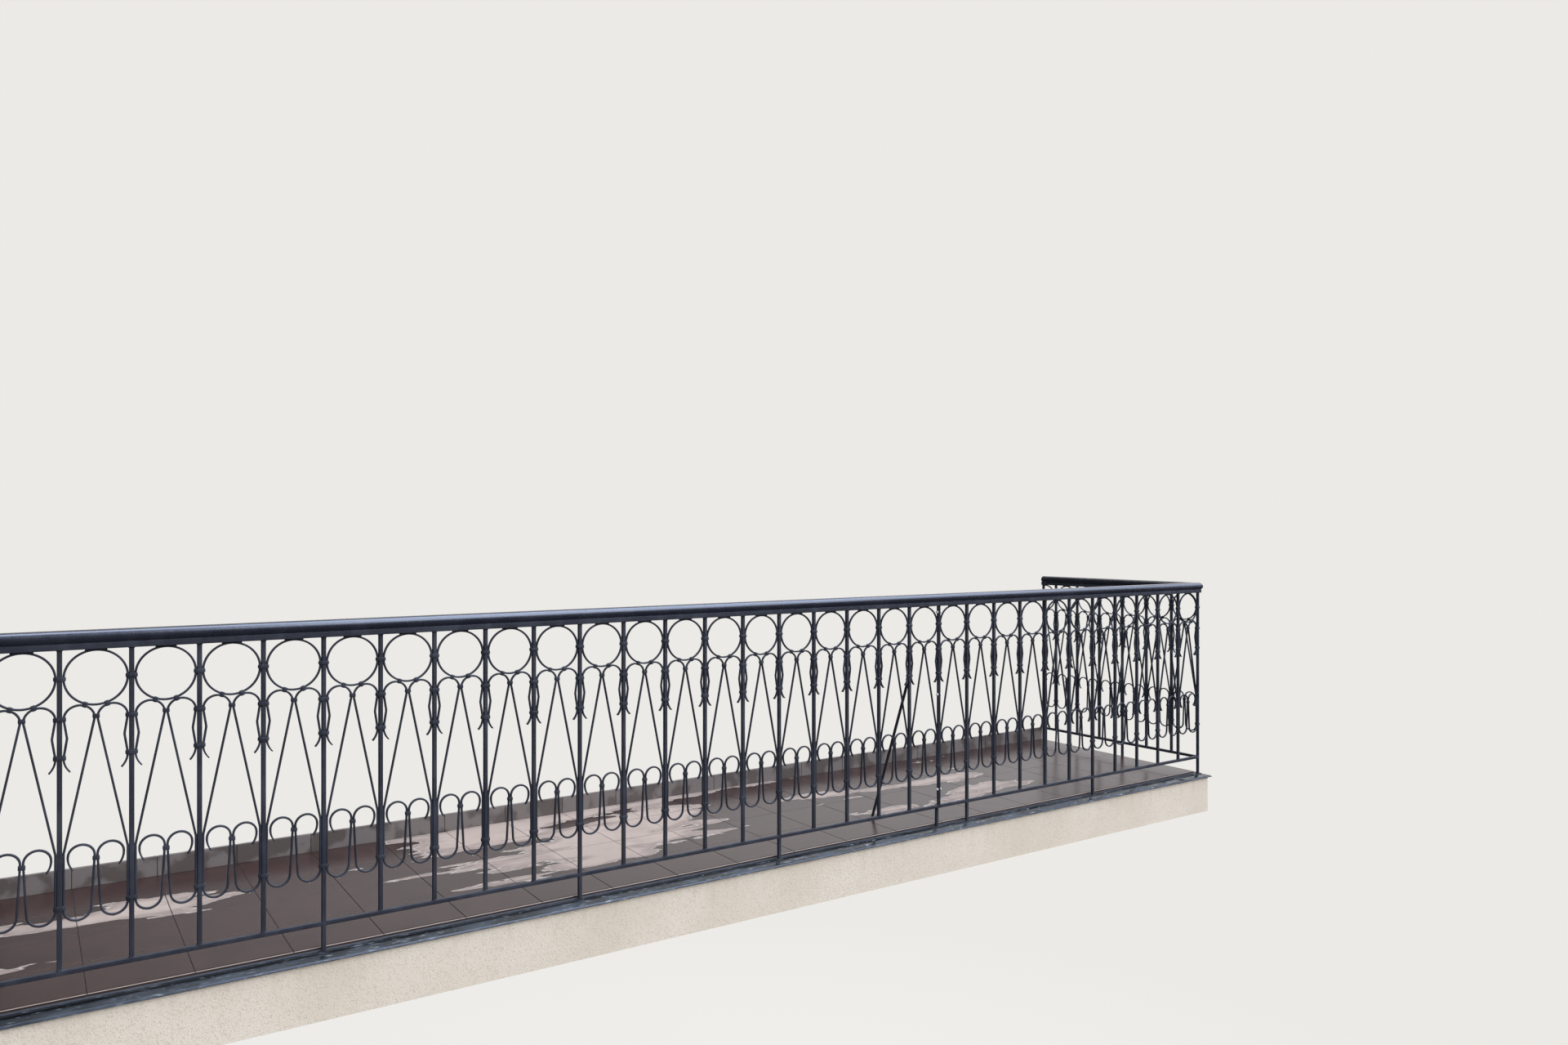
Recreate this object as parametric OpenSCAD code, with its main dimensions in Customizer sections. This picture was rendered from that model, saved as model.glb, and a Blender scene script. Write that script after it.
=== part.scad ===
// Iron balcony: a concrete slab that stands out from a wall, with a forged scrollwork railing
// on its three open sides. Millimetres, +X to the right seen from outside, +Z up. The wall
// is the plane y = 0 and the balcony stands out from it towards -Y. The origin is the middle
// of the slab's wall face.

/* [Railing layout] */
// Spacing of the upright bars along the front
front_pitch = 188; // [170:1:210]
// Number of bays along the front
front_bays = 31; // [24:1:36]
// Front bay, counted from the right corner, at which the two welded lengths meet
splice_bay = 11; // [9:1:14]
// Spacing of the upright bars along each side
side_pitch = 181; // [178:1:182]
// Distance from the wall to the axis of the front railing
rail_out = 1205; // [1200:5:1215]
// Height of the handrail's top above the slab edge
rail_top = 1130; // [1100:5:1200]

/* [Bars] */
// Side of the square upright bars
bar = 14; // [12:0.5:18]
// Thickness of the forged scroll bar, measured in the plane of the railing
scroll_w = 6.5; // [5:0.5:8]
// Depth of the forged scroll bar, measured across the railing
scroll_d = 9; // [7:0.5:12]
// Diameter of the handrail tube
tube_d = 45; // [40:1:50]
// Wall of the handrail tube
tube_wall = 3; // [2:0.5:4]
// Width of the flat bar under the handrail
subrail_w = 30; // [24:1:36]
// Height from the slab edge to the underside of that flat bar
subrail_z = 1070; // [1050:1:1080]
// Height from the slab edge to the underside of the bottom rail
bottom_rail_z = 90; // [70:1:110]
// Height of the bottom rail
bottom_rail_h = 15; // [10:1:20]

/* [Scrollwork] */
// Height at which the V legs reach the upright bar
v_foot_z = 455; // [440:1:480]
// Height of the lower collar of the knot
knot_low_z = 744; // [730:1:760]
// How far the knot swells away from the upright bar
knot_bulge = 8.5; // [6:0.5:12]
// Radius of the bend at the widest place of the knot
knot_r = 30; // [20:5:60]
// Radius of the flared fishtail tips
tip_r = 60; // [50:5:100]
// Height that a fishtail tip takes
tip_drop = 42; // [30:1:50]
// Width of a fishtail tip across the railing, where it ends
tip_flare = 15; // [12:1:20]
// Thickness of a fishtail tip where it ends
tip_end_t = 4; // [3:0.5:6]
// Outer radius of the U loop at the foot of the scroll
loop_r = 39; // [34:1:40]
// Height of the centre of that loop
loop_z = 284; // [270:1:300]
// Outer radius of the small lower arch
low_arch_r = 38; // [34:1:38]
// Height of the centre of the small lower arch
low_arch_z = 441; // [430:1:442]
// Height that a lower fishtail tip takes
low_tip_drop = 38; // [30:1:40]

/* [Collars] */
// Height of a collar
collar_h = 12; // [8:1:14]
// Thickness of the collar band
collar_t = 2.3; // [2:0.1:3]
// Height of the collar that binds the U loops to the bar
low_collar_z = 293; // [289:1:300]
// Height of the collar that binds the two rising strands
rise_collar_z = 430; // [420:1:436]

/* [Slab] */
// Thickness of the concrete slab
slab_t = 200; // [160:5:240]
// Thickness of the render coat on the edges and the soffit
render_t = 17; // [10:1:20]
// Distance from the axis of the railing to the face of the render
edge_out = 40; // [35:1:60]
// Rise of the tiled floor above the slab edge, at the wall
floor_rise = 22; // [18:1:40]
// Rise of the tiled floor above the slab edge, at the railing
floor_edge = 12; // [8:1:16]
// Height of the tiled skirting along the wall
skirting_h = 80; // [60:5:120]

/* [Raking stay] */
// Front bar, counted from the right corner, that the stay holds
stay_bar = 12; // [11:1:14]
// Distance from the railing to the foot of the stay
stay_run = 271; // [180:1:320]
// Height at which the stay meets the bar
stay_z = 722; // [700:1:736]
// Diameter of the stay
stay_d = 14; // [10:1:18]
// Diameter of the boss at the stay's head
stay_boss_d = 24; // [20:1:28]

/* [Hidden] */
$fn = 96;

iron = "#2b3442";
zinc = "#46566a";
concrete = "#9b958c";
stucco = "#cbc4ba";
tile = "#8a716a";
dark_tile = "#544e4e";

// A cut reaches this far past the face that it opens
past = 1;
// Pieces that only lie against each other keep this gap
seam = 0.4;
// A length longer than any run of the railing
far = 4000;

// Levels, from the middle of the slab's wall face
flashing_t = 2;
slab_top = slab_t / 2;
edge_z = slab_top + flashing_t;

// Cross-section of the slab edge, measured outwards and upwards from the foot of the railing
floor_in = bar / 2 + 9;
fall_start = bar;
fall = 0.28;
nose_out = edge_out + 12;
nose_z = -fall * (nose_out - fall_start);

// Plan of the railing
corner_x = front_bays * front_pitch / 2;
side_bays = floor(rail_out / side_pitch);
wall_gap = 2;
wall_post_y = -wall_gap - bar / 2;
splice_x = corner_x - splice_bay * front_pitch;
front_post_bars = [5, 10, 16, 21, 26];
side_post_bar = 3;
tube_z = rail_top - tube_d / 2;
bottom_rail_top = bottom_rail_z + bottom_rail_h;

function front_x(i) = corner_x - i * front_pitch;
function side_y(j) = -rail_out + j * side_pitch;
function is_post(i) = len(search(i, front_post_bars)) > 0;

// Posts, corners and the splice that end the lengths of the bottom rail
right_stops = concat([0], [for (i = front_post_bars) if (i < splice_bay) i], [splice_bay]);
left_stops = concat([splice_bay], [for (i = front_post_bars) if (i > splice_bay) i], [front_bays]);

// Front bars on each side of the splice that are neither posts nor corners
left_bars = [for (i = [splice_bay + 1:front_bays - 1]) if (!is_post(i)) i];
right_bars = [for (i = [1:splice_bay - 1]) if (!is_post(i)) i];

// Scrollwork, in the plane of one bay: x from the bay's middle, y up from the slab edge
function ring_r(pitch) = (pitch - bar) / 2;
function ring_z(pitch) = subrail_z - ring_r(pitch);
// The arch spans half the bay and touches the ring from below, so its centre follows
function arch_r(pitch) = (ring_r(pitch) - 1.5 * seam) / 2;
function arch_x(pitch) = -seam - arch_r(pitch);
function arch_z(pitch) = ring_z(pitch)
    - sqrt(pow(ring_r(pitch) + arch_r(pitch), 2) - pow(arch_x(pitch), 2));
function clip_angle(pitch) = asin(-arch_x(pitch) / (ring_r(pitch) + arch_r(pitch)));

// Point where a line from p touches the circle of radius r about c; side is 1 or -1
function touch_point(p, c, r, side) =
    let (d = p - c, turn = side * acos(r / norm(d)), a = atan2(d.y, d.x) + turn)
    c + r * [cos(a), sin(a)];
function bearing(c, p) = atan2(p.y - c.y, p.x - c.x);

// Plan helpers
// A profile drawn with x inwards and y up, run along the front from x0 to x1
module run_front(x0, x1) {
    translate([x0, -rail_out, edge_z])
        rotate([90, 0, 90])
            linear_extrude(x1 - x0)
                children();
}

// The same profile run along the right side from y0 to y1
module run_side(y0, y1) {
    translate([corner_x, y0, edge_z])
        rotate([90, 0, 180])
            linear_extrude(y1 - y0)
                children();
}

// Everything on the front side of the right corner's mitre plane
module mitre_front_half() {
    translate([corner_x, -rail_out, 0])
        rotate(-135)
            translate([0, -far, -far / 2])
                cube([2 * far, 2 * far, far]);
}

// A run along the front whose right end is mitred
module front_run_right(x0) {
    intersection() {
        run_front(x0, corner_x + far / 10)
            children();
        mitre_front_half();
    }
}

// A run along the right side whose front end is mitred
module side_run(y1) {
    difference() {
        run_side(-rail_out - far / 10, y1)
            children();
        mitre_front_half();
    }
}

module on_left() {
    mirror([1, 0, 0])
        children();
}

// Slab and its finishes
// What the outward fall of the slab edge takes off a flat top
module edge_fall() {
    module fall_profile() {
        polygon([
            [-fall_start, -flashing_t],
            [-far, -flashing_t - fall * (far - fall_start)],
            [-far, far],
            [-fall_start, far]
        ]);
    }
    run_front(-far, far)
        fall_profile();
    run_side(-far, far)
        fall_profile();
    on_left()
        run_side(-far, far)
            fall_profile();
}

module slab() {
    half_w = corner_x + edge_out - render_t;
    depth = rail_out + edge_out - render_t;
    color(concrete)
        difference() {
            translate([-half_w, -depth, -slab_t / 2])
                cube([2 * half_w, depth, slab_t]);
            edge_fall();
        }
}

module render_coat() {
    half_w = corner_x + edge_out;
    depth = rail_out + edge_out;
    color(stucco)
        difference() {
            translate([-half_w, -depth, -slab_t / 2 - render_t])
                cube([2 * half_w, depth, slab_t + render_t]);
            translate([-half_w + render_t, -depth + render_t, -slab_t / 2])
                cube([2 * (half_w - render_t), depth, slab_t + past]);
            edge_fall();
        }
}

module tiled_floor() {
    half_w = corner_x - floor_in;
    depth = rail_out - floor_in;
    color(tile)
        translate([-half_w, 0, 0])
            rotate([90, 0, 90])
                linear_extrude(2 * half_w)
                    polygon([
                        [0, slab_top],
                        [0, edge_z + floor_rise],
                        [-depth, edge_z + floor_edge],
                        [-depth, slab_top]
                    ]);
}

module skirting() {
    half_w = corner_x - floor_in;
    skirting_t = 10;
    slope = (floor_rise - floor_edge) / (rail_out - floor_in);
    color(dark_tile)
        translate([-half_w, 0, edge_z + floor_rise])
            rotate([90, 0, 90])
                linear_extrude(2 * half_w)
                    polygon([
                        [0, 0],
                        [0, skirting_h],
                        [-skirting_t, skirting_h - 2],
                        [-skirting_t, -skirting_t * slope]
                    ]);
}

// Sheet flashing: a flat band that meets the tiles, a band that falls outwards, and a drip edge
module flashing_profile() {
    lip_z = -13;
    kick = 3;
    t = flashing_t;
    polygon([
        [floor_in, -t],
        [floor_in, 0],
        [-fall_start, 0],
        [-nose_out, nose_z],
        [-nose_out - t, lip_z],
        [-nose_out - t - kick, lip_z - kick],
        [-nose_out - kick, lip_z - kick - t],
        [-nose_out, lip_z - t],
        [-nose_out + t, nose_z - t + fall * t],
        [-fall_start, -t]
    ]);
}

module flashing_right() {
    color(zinc)
        side_run(0)
            flashing_profile();
}

module flashing_left() {
    on_left()
        flashing_right();
}

module flashing_front() {
    color(zinc) {
        front_run_right(0)
            flashing_profile();
        on_left()
            front_run_right(0)
                flashing_profile();
    }
}

// Handrail and the flat bar that it is welded to
module tube_profile() {
    translate([0, tube_z])
        difference() {
            circle(d = tube_d);
            circle(d = tube_d - 2 * tube_wall);
        }
}

module subrail_profile() {
    difference() {
        translate([-subrail_w / 2, subrail_z])
            square([subrail_w, tube_z - subrail_z]);
        translate([0, tube_z])
            circle(d = tube_d);
    }
}

// Domed plug that closes a tube end at the wall
module tube_cap() {
    cap_r = 8;
    translate([corner_x, -wall_gap, edge_z + tube_z])
        rotate([90, 0, 0])
            rotate_extrude() {
                translate([0, cap_r])
                    square([tube_d / 2, cap_r]);
                square([tube_d / 2 - cap_r, cap_r]);
                translate([tube_d / 2 - cap_r, cap_r])
                    intersection() {
                        circle(r = cap_r);
                        translate([0, -cap_r])
                            square(cap_r);
                    }
            }
}

module handrail_right() {
    color(iron) {
        side_run(-wall_gap - 16)
            tube_profile();
        tube_cap();
    }
}

module handrail_left() {
    on_left()
        handrail_right();
}

module handrail_front_right() {
    color(iron)
        front_run_right(splice_x + seam / 2)
            tube_profile();
}

module handrail_front_left() {
    color(iron)
        on_left()
            front_run_right(-splice_x + seam / 2)
                tube_profile();
}

module subrail_right() {
    color(iron)
        side_run(-wall_gap)
            subrail_profile();
}

module subrail_left() {
    on_left()
        subrail_right();
}

module subrail_front_right() {
    color(iron)
        front_run_right(splice_x + seam / 2)
            subrail_profile();
}

module subrail_front_left() {
    color(iron)
        on_left()
            front_run_right(-splice_x + seam / 2)
                subrail_profile();
}

// Bottom rail, in lengths between the posts
module bottom_rail_profile() {
    translate([-bar / 2, bottom_rail_z])
        square([bar, bottom_rail_h]);
}

module front_bottom_rail(stops) {
    for (k = [1:len(stops) - 1])
        run_front(front_x(stops[k]) + bar / 2, front_x(stops[k - 1]) - bar / 2)
            bottom_rail_profile();
}

module bottom_rail_front_right() {
    color(iron)
        front_bottom_rail(right_stops);
}

module bottom_rail_front_left() {
    color(iron)
        front_bottom_rail(left_stops);
}

module bottom_rail_right() {
    color(iron) {
        run_side(-rail_out + bar / 2, side_y(side_post_bar) - bar / 2)
            bottom_rail_profile();
        run_side(side_y(side_post_bar) + bar / 2, wall_post_y - bar / 2)
            bottom_rail_profile();
    }
}

module bottom_rail_left() {
    on_left()
        bottom_rail_right();
}

// Upright bars: x and y of the axis, and the level that it starts from
module upright(x, y, z0) {
    translate([x - bar / 2, y - bar / 2, edge_z + z0])
        cube([bar, bar, subrail_z - z0]);
}

module corner_post_right() {
    color(iron)
        upright(corner_x, -rail_out, 0);
}

module corner_post_left() {
    on_left()
        corner_post_right();
}

module front_posts() {
    color(iron)
        for (i = front_post_bars)
            upright(front_x(i), -rail_out, 0);
}

module side_posts_right() {
    color(iron) {
        upright(corner_x, side_y(side_post_bar), 0);
        upright(corner_x, wall_post_y, 0);
    }
}

module side_posts_left() {
    on_left()
        side_posts_right();
}

module bars_front_left() {
    color(iron)
        for (i = left_bars)
            upright(front_x(i), -rail_out, bottom_rail_top);
}

module bars_front_right() {
    color(iron)
        for (i = right_bars)
            upright(front_x(i), -rail_out, bottom_rail_top);
}

module bars_right() {
    color(iron)
        for (j = [1:side_bays])
            if (j != side_post_bar)
                upright(corner_x, side_y(j), bottom_rail_top);
}

module bars_left() {
    on_left()
        bars_right();
}

// Two flat bars, one on each welded length, that are bolted together at the splice
module splice_bars() {
    flat = (bar - seam) / 2;
    color(iron)
        for (x = [splice_x - bar / 2, splice_x + seam / 2])
            translate([x, -rail_out - bar / 2, edge_z + bottom_rail_z])
                cube([flat, bar, subrail_z - bottom_rail_z]);
}

// Short foot behind the bottom rail, under the splice, let into the edge of the tiles
module splice_foot() {
    color(iron)
        difference() {
            translate([splice_x - bar / 2, -rail_out + bar / 2, edge_z])
                cube([bar, bar, bottom_rail_top]);
            tiled_floor();
        }
}

// Round stay that leans from the railing to the floor behind it
module raking_stay() {
    rise = stay_z - floor_edge;
    lean = atan2(stay_run, rise);
    inner_face_y = -rail_out + bar / 2;
    boss_t = 7;
    color(iron)
        difference() {
            union() {
                intersection() {
                    translate([front_x(stay_bar), inner_face_y, edge_z + stay_z])
                        rotate([180 + lean, 0, 0])
                            translate([0, 0, -rise])
                                cylinder(d = stay_d, h = 3 * rise);
                    translate([front_x(stay_bar) - stay_d, inner_face_y, edge_z])
                        cube([2 * stay_d, 2 * stay_run, rise + 2 * stay_d]);
                }
                translate([front_x(stay_bar), inner_face_y, edge_z + stay_z])
                    rotate([-90, 0, 0])
                        cylinder(d = stay_boss_d, h = boss_t);
            }
            tiled_floor();
        }
}

// Scrollwork profiles
// Where the small lower arch ends and its fishtail starts
low_tip_x = -seam - 2 * low_arch_r + scroll_w / 2;

// Axis of the strand that runs beside the upright bar
function beside_x(pitch) = -ring_r(pitch) + (scroll_w + seam) / 2;

module strand(p, q) {
    translate(p)
        rotate(bearing(p, q))
            translate([0, -scroll_w / 2])
                square([norm(q - p), scroll_w]);
}

// Round of the bar where two stretches meet, a hair thicker than the bar itself
module bend(p) {
    translate(p)
        circle(d = scroll_w + seam);
}

// Part of a bent strand with centre c and outer radius r, from angle a0 to a1
module arc_strand(c, r, a0, a1) {
    reach = 4 * r;
    steps = [for (k = [0:3]) a0 + (a1 - a0) * k / 3];
    translate(c)
        intersection() {
            difference() {
                circle(r = r);
                circle(r = r - scroll_w);
            }
            polygon(concat([[0, 0]], [for (a = steps) reach * [cos(a), sin(a)]]));
        }
}

// Left half of a bay's scroll between its two fishtails
module half_scroll_profile(pitch) {
    beside_x = beside_x(pitch);
    middle_x = -scroll_w / 2 - seam;
    top_z = arch_z(pitch);
    half_w = scroll_w / 2;

    // Knot between its two collars
    knot_z = (top_z + knot_low_z) / 2;
    knot_c = [beside_x + knot_bulge - knot_r, knot_z];
    knot_top = [beside_x, top_z];
    knot_foot = [beside_x, knot_low_z];
    knot_on = touch_point(knot_top, knot_c, knot_r, -1);
    knot_off = touch_point(knot_foot, knot_c, knot_r, 1);

    // Loop at the foot, and the strand that rises from it
    loop_c = [beside_x - half_w + loop_r, loop_z];
    rise_top = [middle_x, low_arch_z];
    rise_foot = touch_point(rise_top, loop_c, loop_r - half_w, -1);

    // Small lower arch
    low_c = [middle_x + half_w - low_arch_r, low_arch_z];

    arc_strand([arch_x(pitch), top_z], arch_r(pitch), 0, 180);
    bend(knot_top);
    strand(knot_top, knot_on);
    bend(knot_on);
    arc_strand(knot_c, knot_r + half_w, bearing(knot_c, knot_off), bearing(knot_c, knot_on));
    bend(knot_off);
    strand(knot_off, knot_foot);
    bend(knot_foot);
    bend([middle_x, top_z]);
    strand([middle_x, top_z], [beside_x, v_foot_z]);
    bend([beside_x, v_foot_z]);
    strand([beside_x, v_foot_z], [beside_x, loop_z]);
    arc_strand(loop_c, loop_r, 180, 360 + bearing(loop_c, rise_foot));
    bend(rise_foot);
    strand(rise_foot, rise_top);
    bend(rise_top);
    arc_strand(low_c, low_arch_r, 0, 180);
    bend([low_tip_x, low_arch_z]);
}

// Fishtail from p down: it curls away, thins towards its end and flares across the railing
module fishtail(p, drop) {
    outer_r = tip_r + scroll_w / 2;
    inner_r = tip_r - scroll_w / 2;
    end_angle = asin(drop / tip_r);
    sink = (scroll_w - tip_end_t) / sin(end_angle);
    reach = 2 * tip_r;
    corner = tip_flare / 4;
    translate(p)
        intersection() {
            linear_extrude(tip_flare, center = true)
                translate([tip_r, 0])
                    difference() {
                        circle(r = outer_r);
                        translate([0, -sink])
                            circle(r = inner_r);
                        polygon([
                            [0, 0],
                            [-reach, 0],
                            [-reach, reach],
                            [reach, reach],
                            [reach, -reach],
                            [-reach * cos(end_angle), -reach * sin(end_angle)]
                        ]);
                    }
            rotate([90, 0, 90])
                linear_extrude(reach, center = true)
                    polygon([
                        [seam, scroll_d / 2],
                        [corner - drop, tip_flare / 2],
                        [-reach, tip_flare / 2],
                        [-reach, -tip_flare / 2],
                        [corner - drop, -tip_flare / 2],
                        [seam, -scroll_d / 2]
                    ]);
        }
}

// Left half of a bay's scroll, one bar from the upper fishtail to the lower one
module half_scroll(pitch) {
    rotate([90, 0, 0]) {
        linear_extrude(scroll_d, center = true)
            half_scroll_profile(pitch);
        fishtail([beside_x(pitch), knot_low_z], tip_drop);
        fishtail([low_tip_x, low_arch_z], low_tip_drop);
    }
}

module scroll_pair(pitch) {
    for (hand = [0, 1])
        mirror([hand, 0, 0])
            half_scroll(pitch);
}

// Ring, with the weld that fills the wedge between it and the rail above
module ring(pitch) {
    r = ring_r(pitch);
    weld_w = 52;
    translate([0, 0, ring_z(pitch)])
        rotate([90, 0, 0])
            linear_extrude(scroll_d, center = true)
                difference() {
                    union() {
                        intersection() {
                            circle(r = r);
                            translate([-r, -r - seam])
                                square(2 * r);
                        }
                        translate([-weld_w / 2, r - scroll_w])
                            square([weld_w, scroll_w]);
                    }
                    circle(r = r - scroll_w);
                }
}

// Places a bay's pieces, drawn about x = 0, on the front or on the right side
module in_front_bay(i) {
    translate([front_x(i + 0.5), -rail_out, edge_z])
        children();
}

module in_side_bay(j) {
    translate([corner_x, side_y(j + 0.5), edge_z])
        rotate(90)
            children();
}

// The short bay at the wall, and how far its middle lies from the wall post's face
short_reach = wall_post_y - bar / 2 - side_y(side_bays + 0.5);

// Its ring is cut off where it meets the wall post
module short_ring() {
    in_side_bay(side_bays)
        intersection() {
            ring(side_pitch);
            translate([short_reach - far, -far / 2, 0])
                cube(far);
        }
}

module rings_front_right() {
    color(iron)
        for (i = [0:splice_bay - 1])
            in_front_bay(i)
                ring(front_pitch);
}

module rings_front_left() {
    color(iron)
        for (i = [splice_bay:front_bays - 1])
            in_front_bay(i)
                ring(front_pitch);
}

module rings_right() {
    color(iron) {
        for (j = [0:side_bays - 1])
            in_side_bay(j)
                ring(side_pitch);
        short_ring();
    }
}

module rings_left() {
    on_left()
        rings_right();
}

module scrolls_front_right() {
    color(iron)
        for (i = [0:splice_bay - 1])
            in_front_bay(i)
                scroll_pair(front_pitch);
}

module scrolls_front_left() {
    color(iron)
        for (i = [splice_bay:front_bays - 1])
            in_front_bay(i)
                scroll_pair(front_pitch);
}

module scrolls_right() {
    color(iron) {
        for (j = [0:side_bays - 1])
            in_side_bay(j)
                scroll_pair(side_pitch);
        in_side_bay(side_bays)
            half_scroll(side_pitch);
    }
}

module scrolls_left() {
    on_left()
        scrolls_right();
}

// Collars
// Room that a collar leaves for a strand that leans inside it
lean_play = 1;
// Half of the hole of a collar that binds two strands in the middle of a bay
mid_room = scroll_w + lean_play;

// Band round a hole that runs along Z, from x0 to x1 and y0 to y1, at the height z
module band(x0, x1, y0, y1, z) {
    translate([0, 0, z - collar_h / 2])
        difference() {
            translate([x0 - collar_t, y0 - collar_t, 0])
                cube([x1 - x0 + 2 * collar_t, y1 - y0 + 2 * collar_t, collar_h]);
            translate([x0, y0, -past])
                cube([x1 - x0, y1 - y0, collar_h + 2 * past]);
        }
}

// Collars of an upright bar, with strands on its left and right as left and right say
module bar_collars(pitch, left, right) {
    half_bar = bar / 2;
    straight = half_bar + scroll_w + seam;
    leaning = straight + lean_play;
    for (at = [
        [ring_z(pitch), straight],
        [arch_z(pitch), leaning],
        [knot_low_z, leaning],
        [low_collar_z, straight]
    ])
        band(left ? -at[1] : -half_bar, right ? at[1] : half_bar, -half_bar, half_bar, at[0]);
}

// Collars in the middle of a bay, with their hole up to x1, and the clips that tie an arch to
// the ring, on the left where sides has 1 and on the right where it has -1
module bay_collars(pitch, x1, sides) {
    half_d = scroll_d / 2;
    above_arch_foot = 4;
    band(-mid_room, x1, -half_d, half_d, arch_z(pitch) + above_arch_foot);
    band(-mid_room, x1, -half_d, half_d, rise_collar_z);
    for (side = sides)
        translate([0, 0, ring_z(pitch)])
            rotate([0, side * clip_angle(pitch), 0])
                translate([0, 0, -ring_r(pitch)])
                    rotate([0, 90, 0])
                        band(-mid_room, mid_room, -half_d, half_d, 0);
}

module collars_front_right() {
    color(iron) {
        for (i = [1:splice_bay])
            translate([front_x(i), -rail_out, edge_z])
                bar_collars(front_pitch, true, true);
        for (i = [0:splice_bay - 1])
            in_front_bay(i)
                bay_collars(front_pitch, mid_room, [-1, 1]);
    }
}

module collars_front_left() {
    color(iron) {
        for (i = [splice_bay + 1:front_bays - 1])
            translate([front_x(i), -rail_out, edge_z])
                bar_collars(front_pitch, true, true);
        for (i = [splice_bay:front_bays - 1])
            in_front_bay(i)
                bay_collars(front_pitch, mid_room, [-1, 1]);
    }
}

// The side's collars, with those of its corner post, which take in a strand of each railing
module collars_right() {
    half_bar = bar / 2;
    strands = half_bar + scroll_w + lean_play;
    color(iron) {
        translate([corner_x, -rail_out, edge_z])
            for (z = [ring_z(front_pitch), arch_z(front_pitch), knot_low_z, low_collar_z])
                band(-strands, half_bar, -half_bar, strands, z);
        for (j = [1:side_bays])
            translate([corner_x, side_y(j), edge_z])
                rotate(90)
                    bar_collars(side_pitch, true, true);
        for (j = [0:side_bays - 1])
            in_side_bay(j)
                bay_collars(side_pitch, mid_room, [-1, 1]);
        in_side_bay(side_bays)
            bay_collars(side_pitch, short_reach - collar_t, [1]);
    }
}

module collars_left() {
    on_left()
        collars_right();
}

slab();
render_coat();
tiled_floor();
skirting();
flashing_front();
flashing_left();
flashing_right();
handrail_front_left();
handrail_front_right();
handrail_left();
handrail_right();
subrail_front_left();
subrail_front_right();
subrail_left();
subrail_right();
bottom_rail_front_left();
bottom_rail_front_right();
bottom_rail_left();
bottom_rail_right();
corner_post_left();
corner_post_right();
front_posts();
side_posts_left();
side_posts_right();
splice_bars();
splice_foot();
raking_stay();
bars_front_left();
bars_front_right();
bars_left();
bars_right();
rings_front_left();
rings_front_right();
rings_left();
rings_right();
scrolls_front_left();
scrolls_front_right();
scrolls_left();
scrolls_right();
collars_front_left();
collars_front_right();
collars_left();
collars_right();
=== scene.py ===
"""Looks of the iron balcony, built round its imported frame.

A rendered concrete slab stands out from a wall, with brown floor tiles and sheet flashing, and a
forged scrollwork railing runs round its three open sides. Lengths are in metres in the part's
own frame: +Z is up, the wall is the plane y = 0 and the balcony stands out from it towards -Y.
In the names of sizes, _r is a radius, _t a thickness, _w a width and _z a height.
"""

from __future__ import annotations

import logging
import math
import random
from dataclasses import dataclass
from enum import Enum
from functools import cached_property
from typing import Any, Callable, Iterable, Sequence

import bmesh
import bpy
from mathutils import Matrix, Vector

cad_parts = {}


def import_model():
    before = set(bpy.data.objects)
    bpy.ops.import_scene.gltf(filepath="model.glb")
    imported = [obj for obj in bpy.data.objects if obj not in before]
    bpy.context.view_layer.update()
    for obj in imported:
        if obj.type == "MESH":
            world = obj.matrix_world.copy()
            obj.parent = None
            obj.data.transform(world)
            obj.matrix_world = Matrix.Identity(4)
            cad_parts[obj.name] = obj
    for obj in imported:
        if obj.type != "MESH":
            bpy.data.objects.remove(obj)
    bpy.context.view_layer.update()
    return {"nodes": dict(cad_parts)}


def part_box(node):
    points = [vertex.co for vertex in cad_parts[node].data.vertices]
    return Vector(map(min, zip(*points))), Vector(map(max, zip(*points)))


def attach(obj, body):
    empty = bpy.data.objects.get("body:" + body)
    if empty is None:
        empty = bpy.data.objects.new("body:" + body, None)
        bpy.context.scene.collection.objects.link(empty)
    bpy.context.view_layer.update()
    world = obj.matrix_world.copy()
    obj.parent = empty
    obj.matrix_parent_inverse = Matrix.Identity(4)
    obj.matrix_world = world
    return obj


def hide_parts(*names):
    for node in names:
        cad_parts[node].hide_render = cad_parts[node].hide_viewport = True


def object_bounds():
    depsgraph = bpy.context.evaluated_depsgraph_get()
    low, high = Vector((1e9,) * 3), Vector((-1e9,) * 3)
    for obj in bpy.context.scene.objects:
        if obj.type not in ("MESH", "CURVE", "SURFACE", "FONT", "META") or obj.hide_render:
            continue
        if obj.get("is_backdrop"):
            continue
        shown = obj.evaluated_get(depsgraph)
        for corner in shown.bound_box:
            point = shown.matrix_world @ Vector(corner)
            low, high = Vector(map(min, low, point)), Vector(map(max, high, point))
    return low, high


LOG = logging.getLogger("balcony")
MM = 0.001
UP = Vector((0, 0, 1))
INWARD = Vector((0, 1, 0))
QUARTER_TURN = Vector((0, 0, math.pi / 2))
BODY = "root"
Point2 = tuple[float, float]
Points = Sequence[Point2]
Tree = bpy.types.NodeTree
Socket = bpy.types.NodeSocket
Material = bpy.types.Material
Mesh = bpy.types.Mesh
Thing = bpy.types.Object
Places = Sequence[Vector]


# Shared helpers


def linear(hex_colour: str) -> tuple[float, float, float, float]:
    """Turns an sRGB hex colour into Blender's linear colour.

    Args:
        hex_colour: Colour such as "#2b3442".

    Returns:
        Red, green, blue and an alpha of 1.
    """
    parts = [int(hex_colour[i : i + 2], 16) / 255 for i in (1, 3, 5)]
    red, green, blue = (c / 12.92 if c <= 0.04045 else ((c + 0.055) / 1.055) ** 2.4 for c in parts)
    return red, green, blue, 1.0


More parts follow.
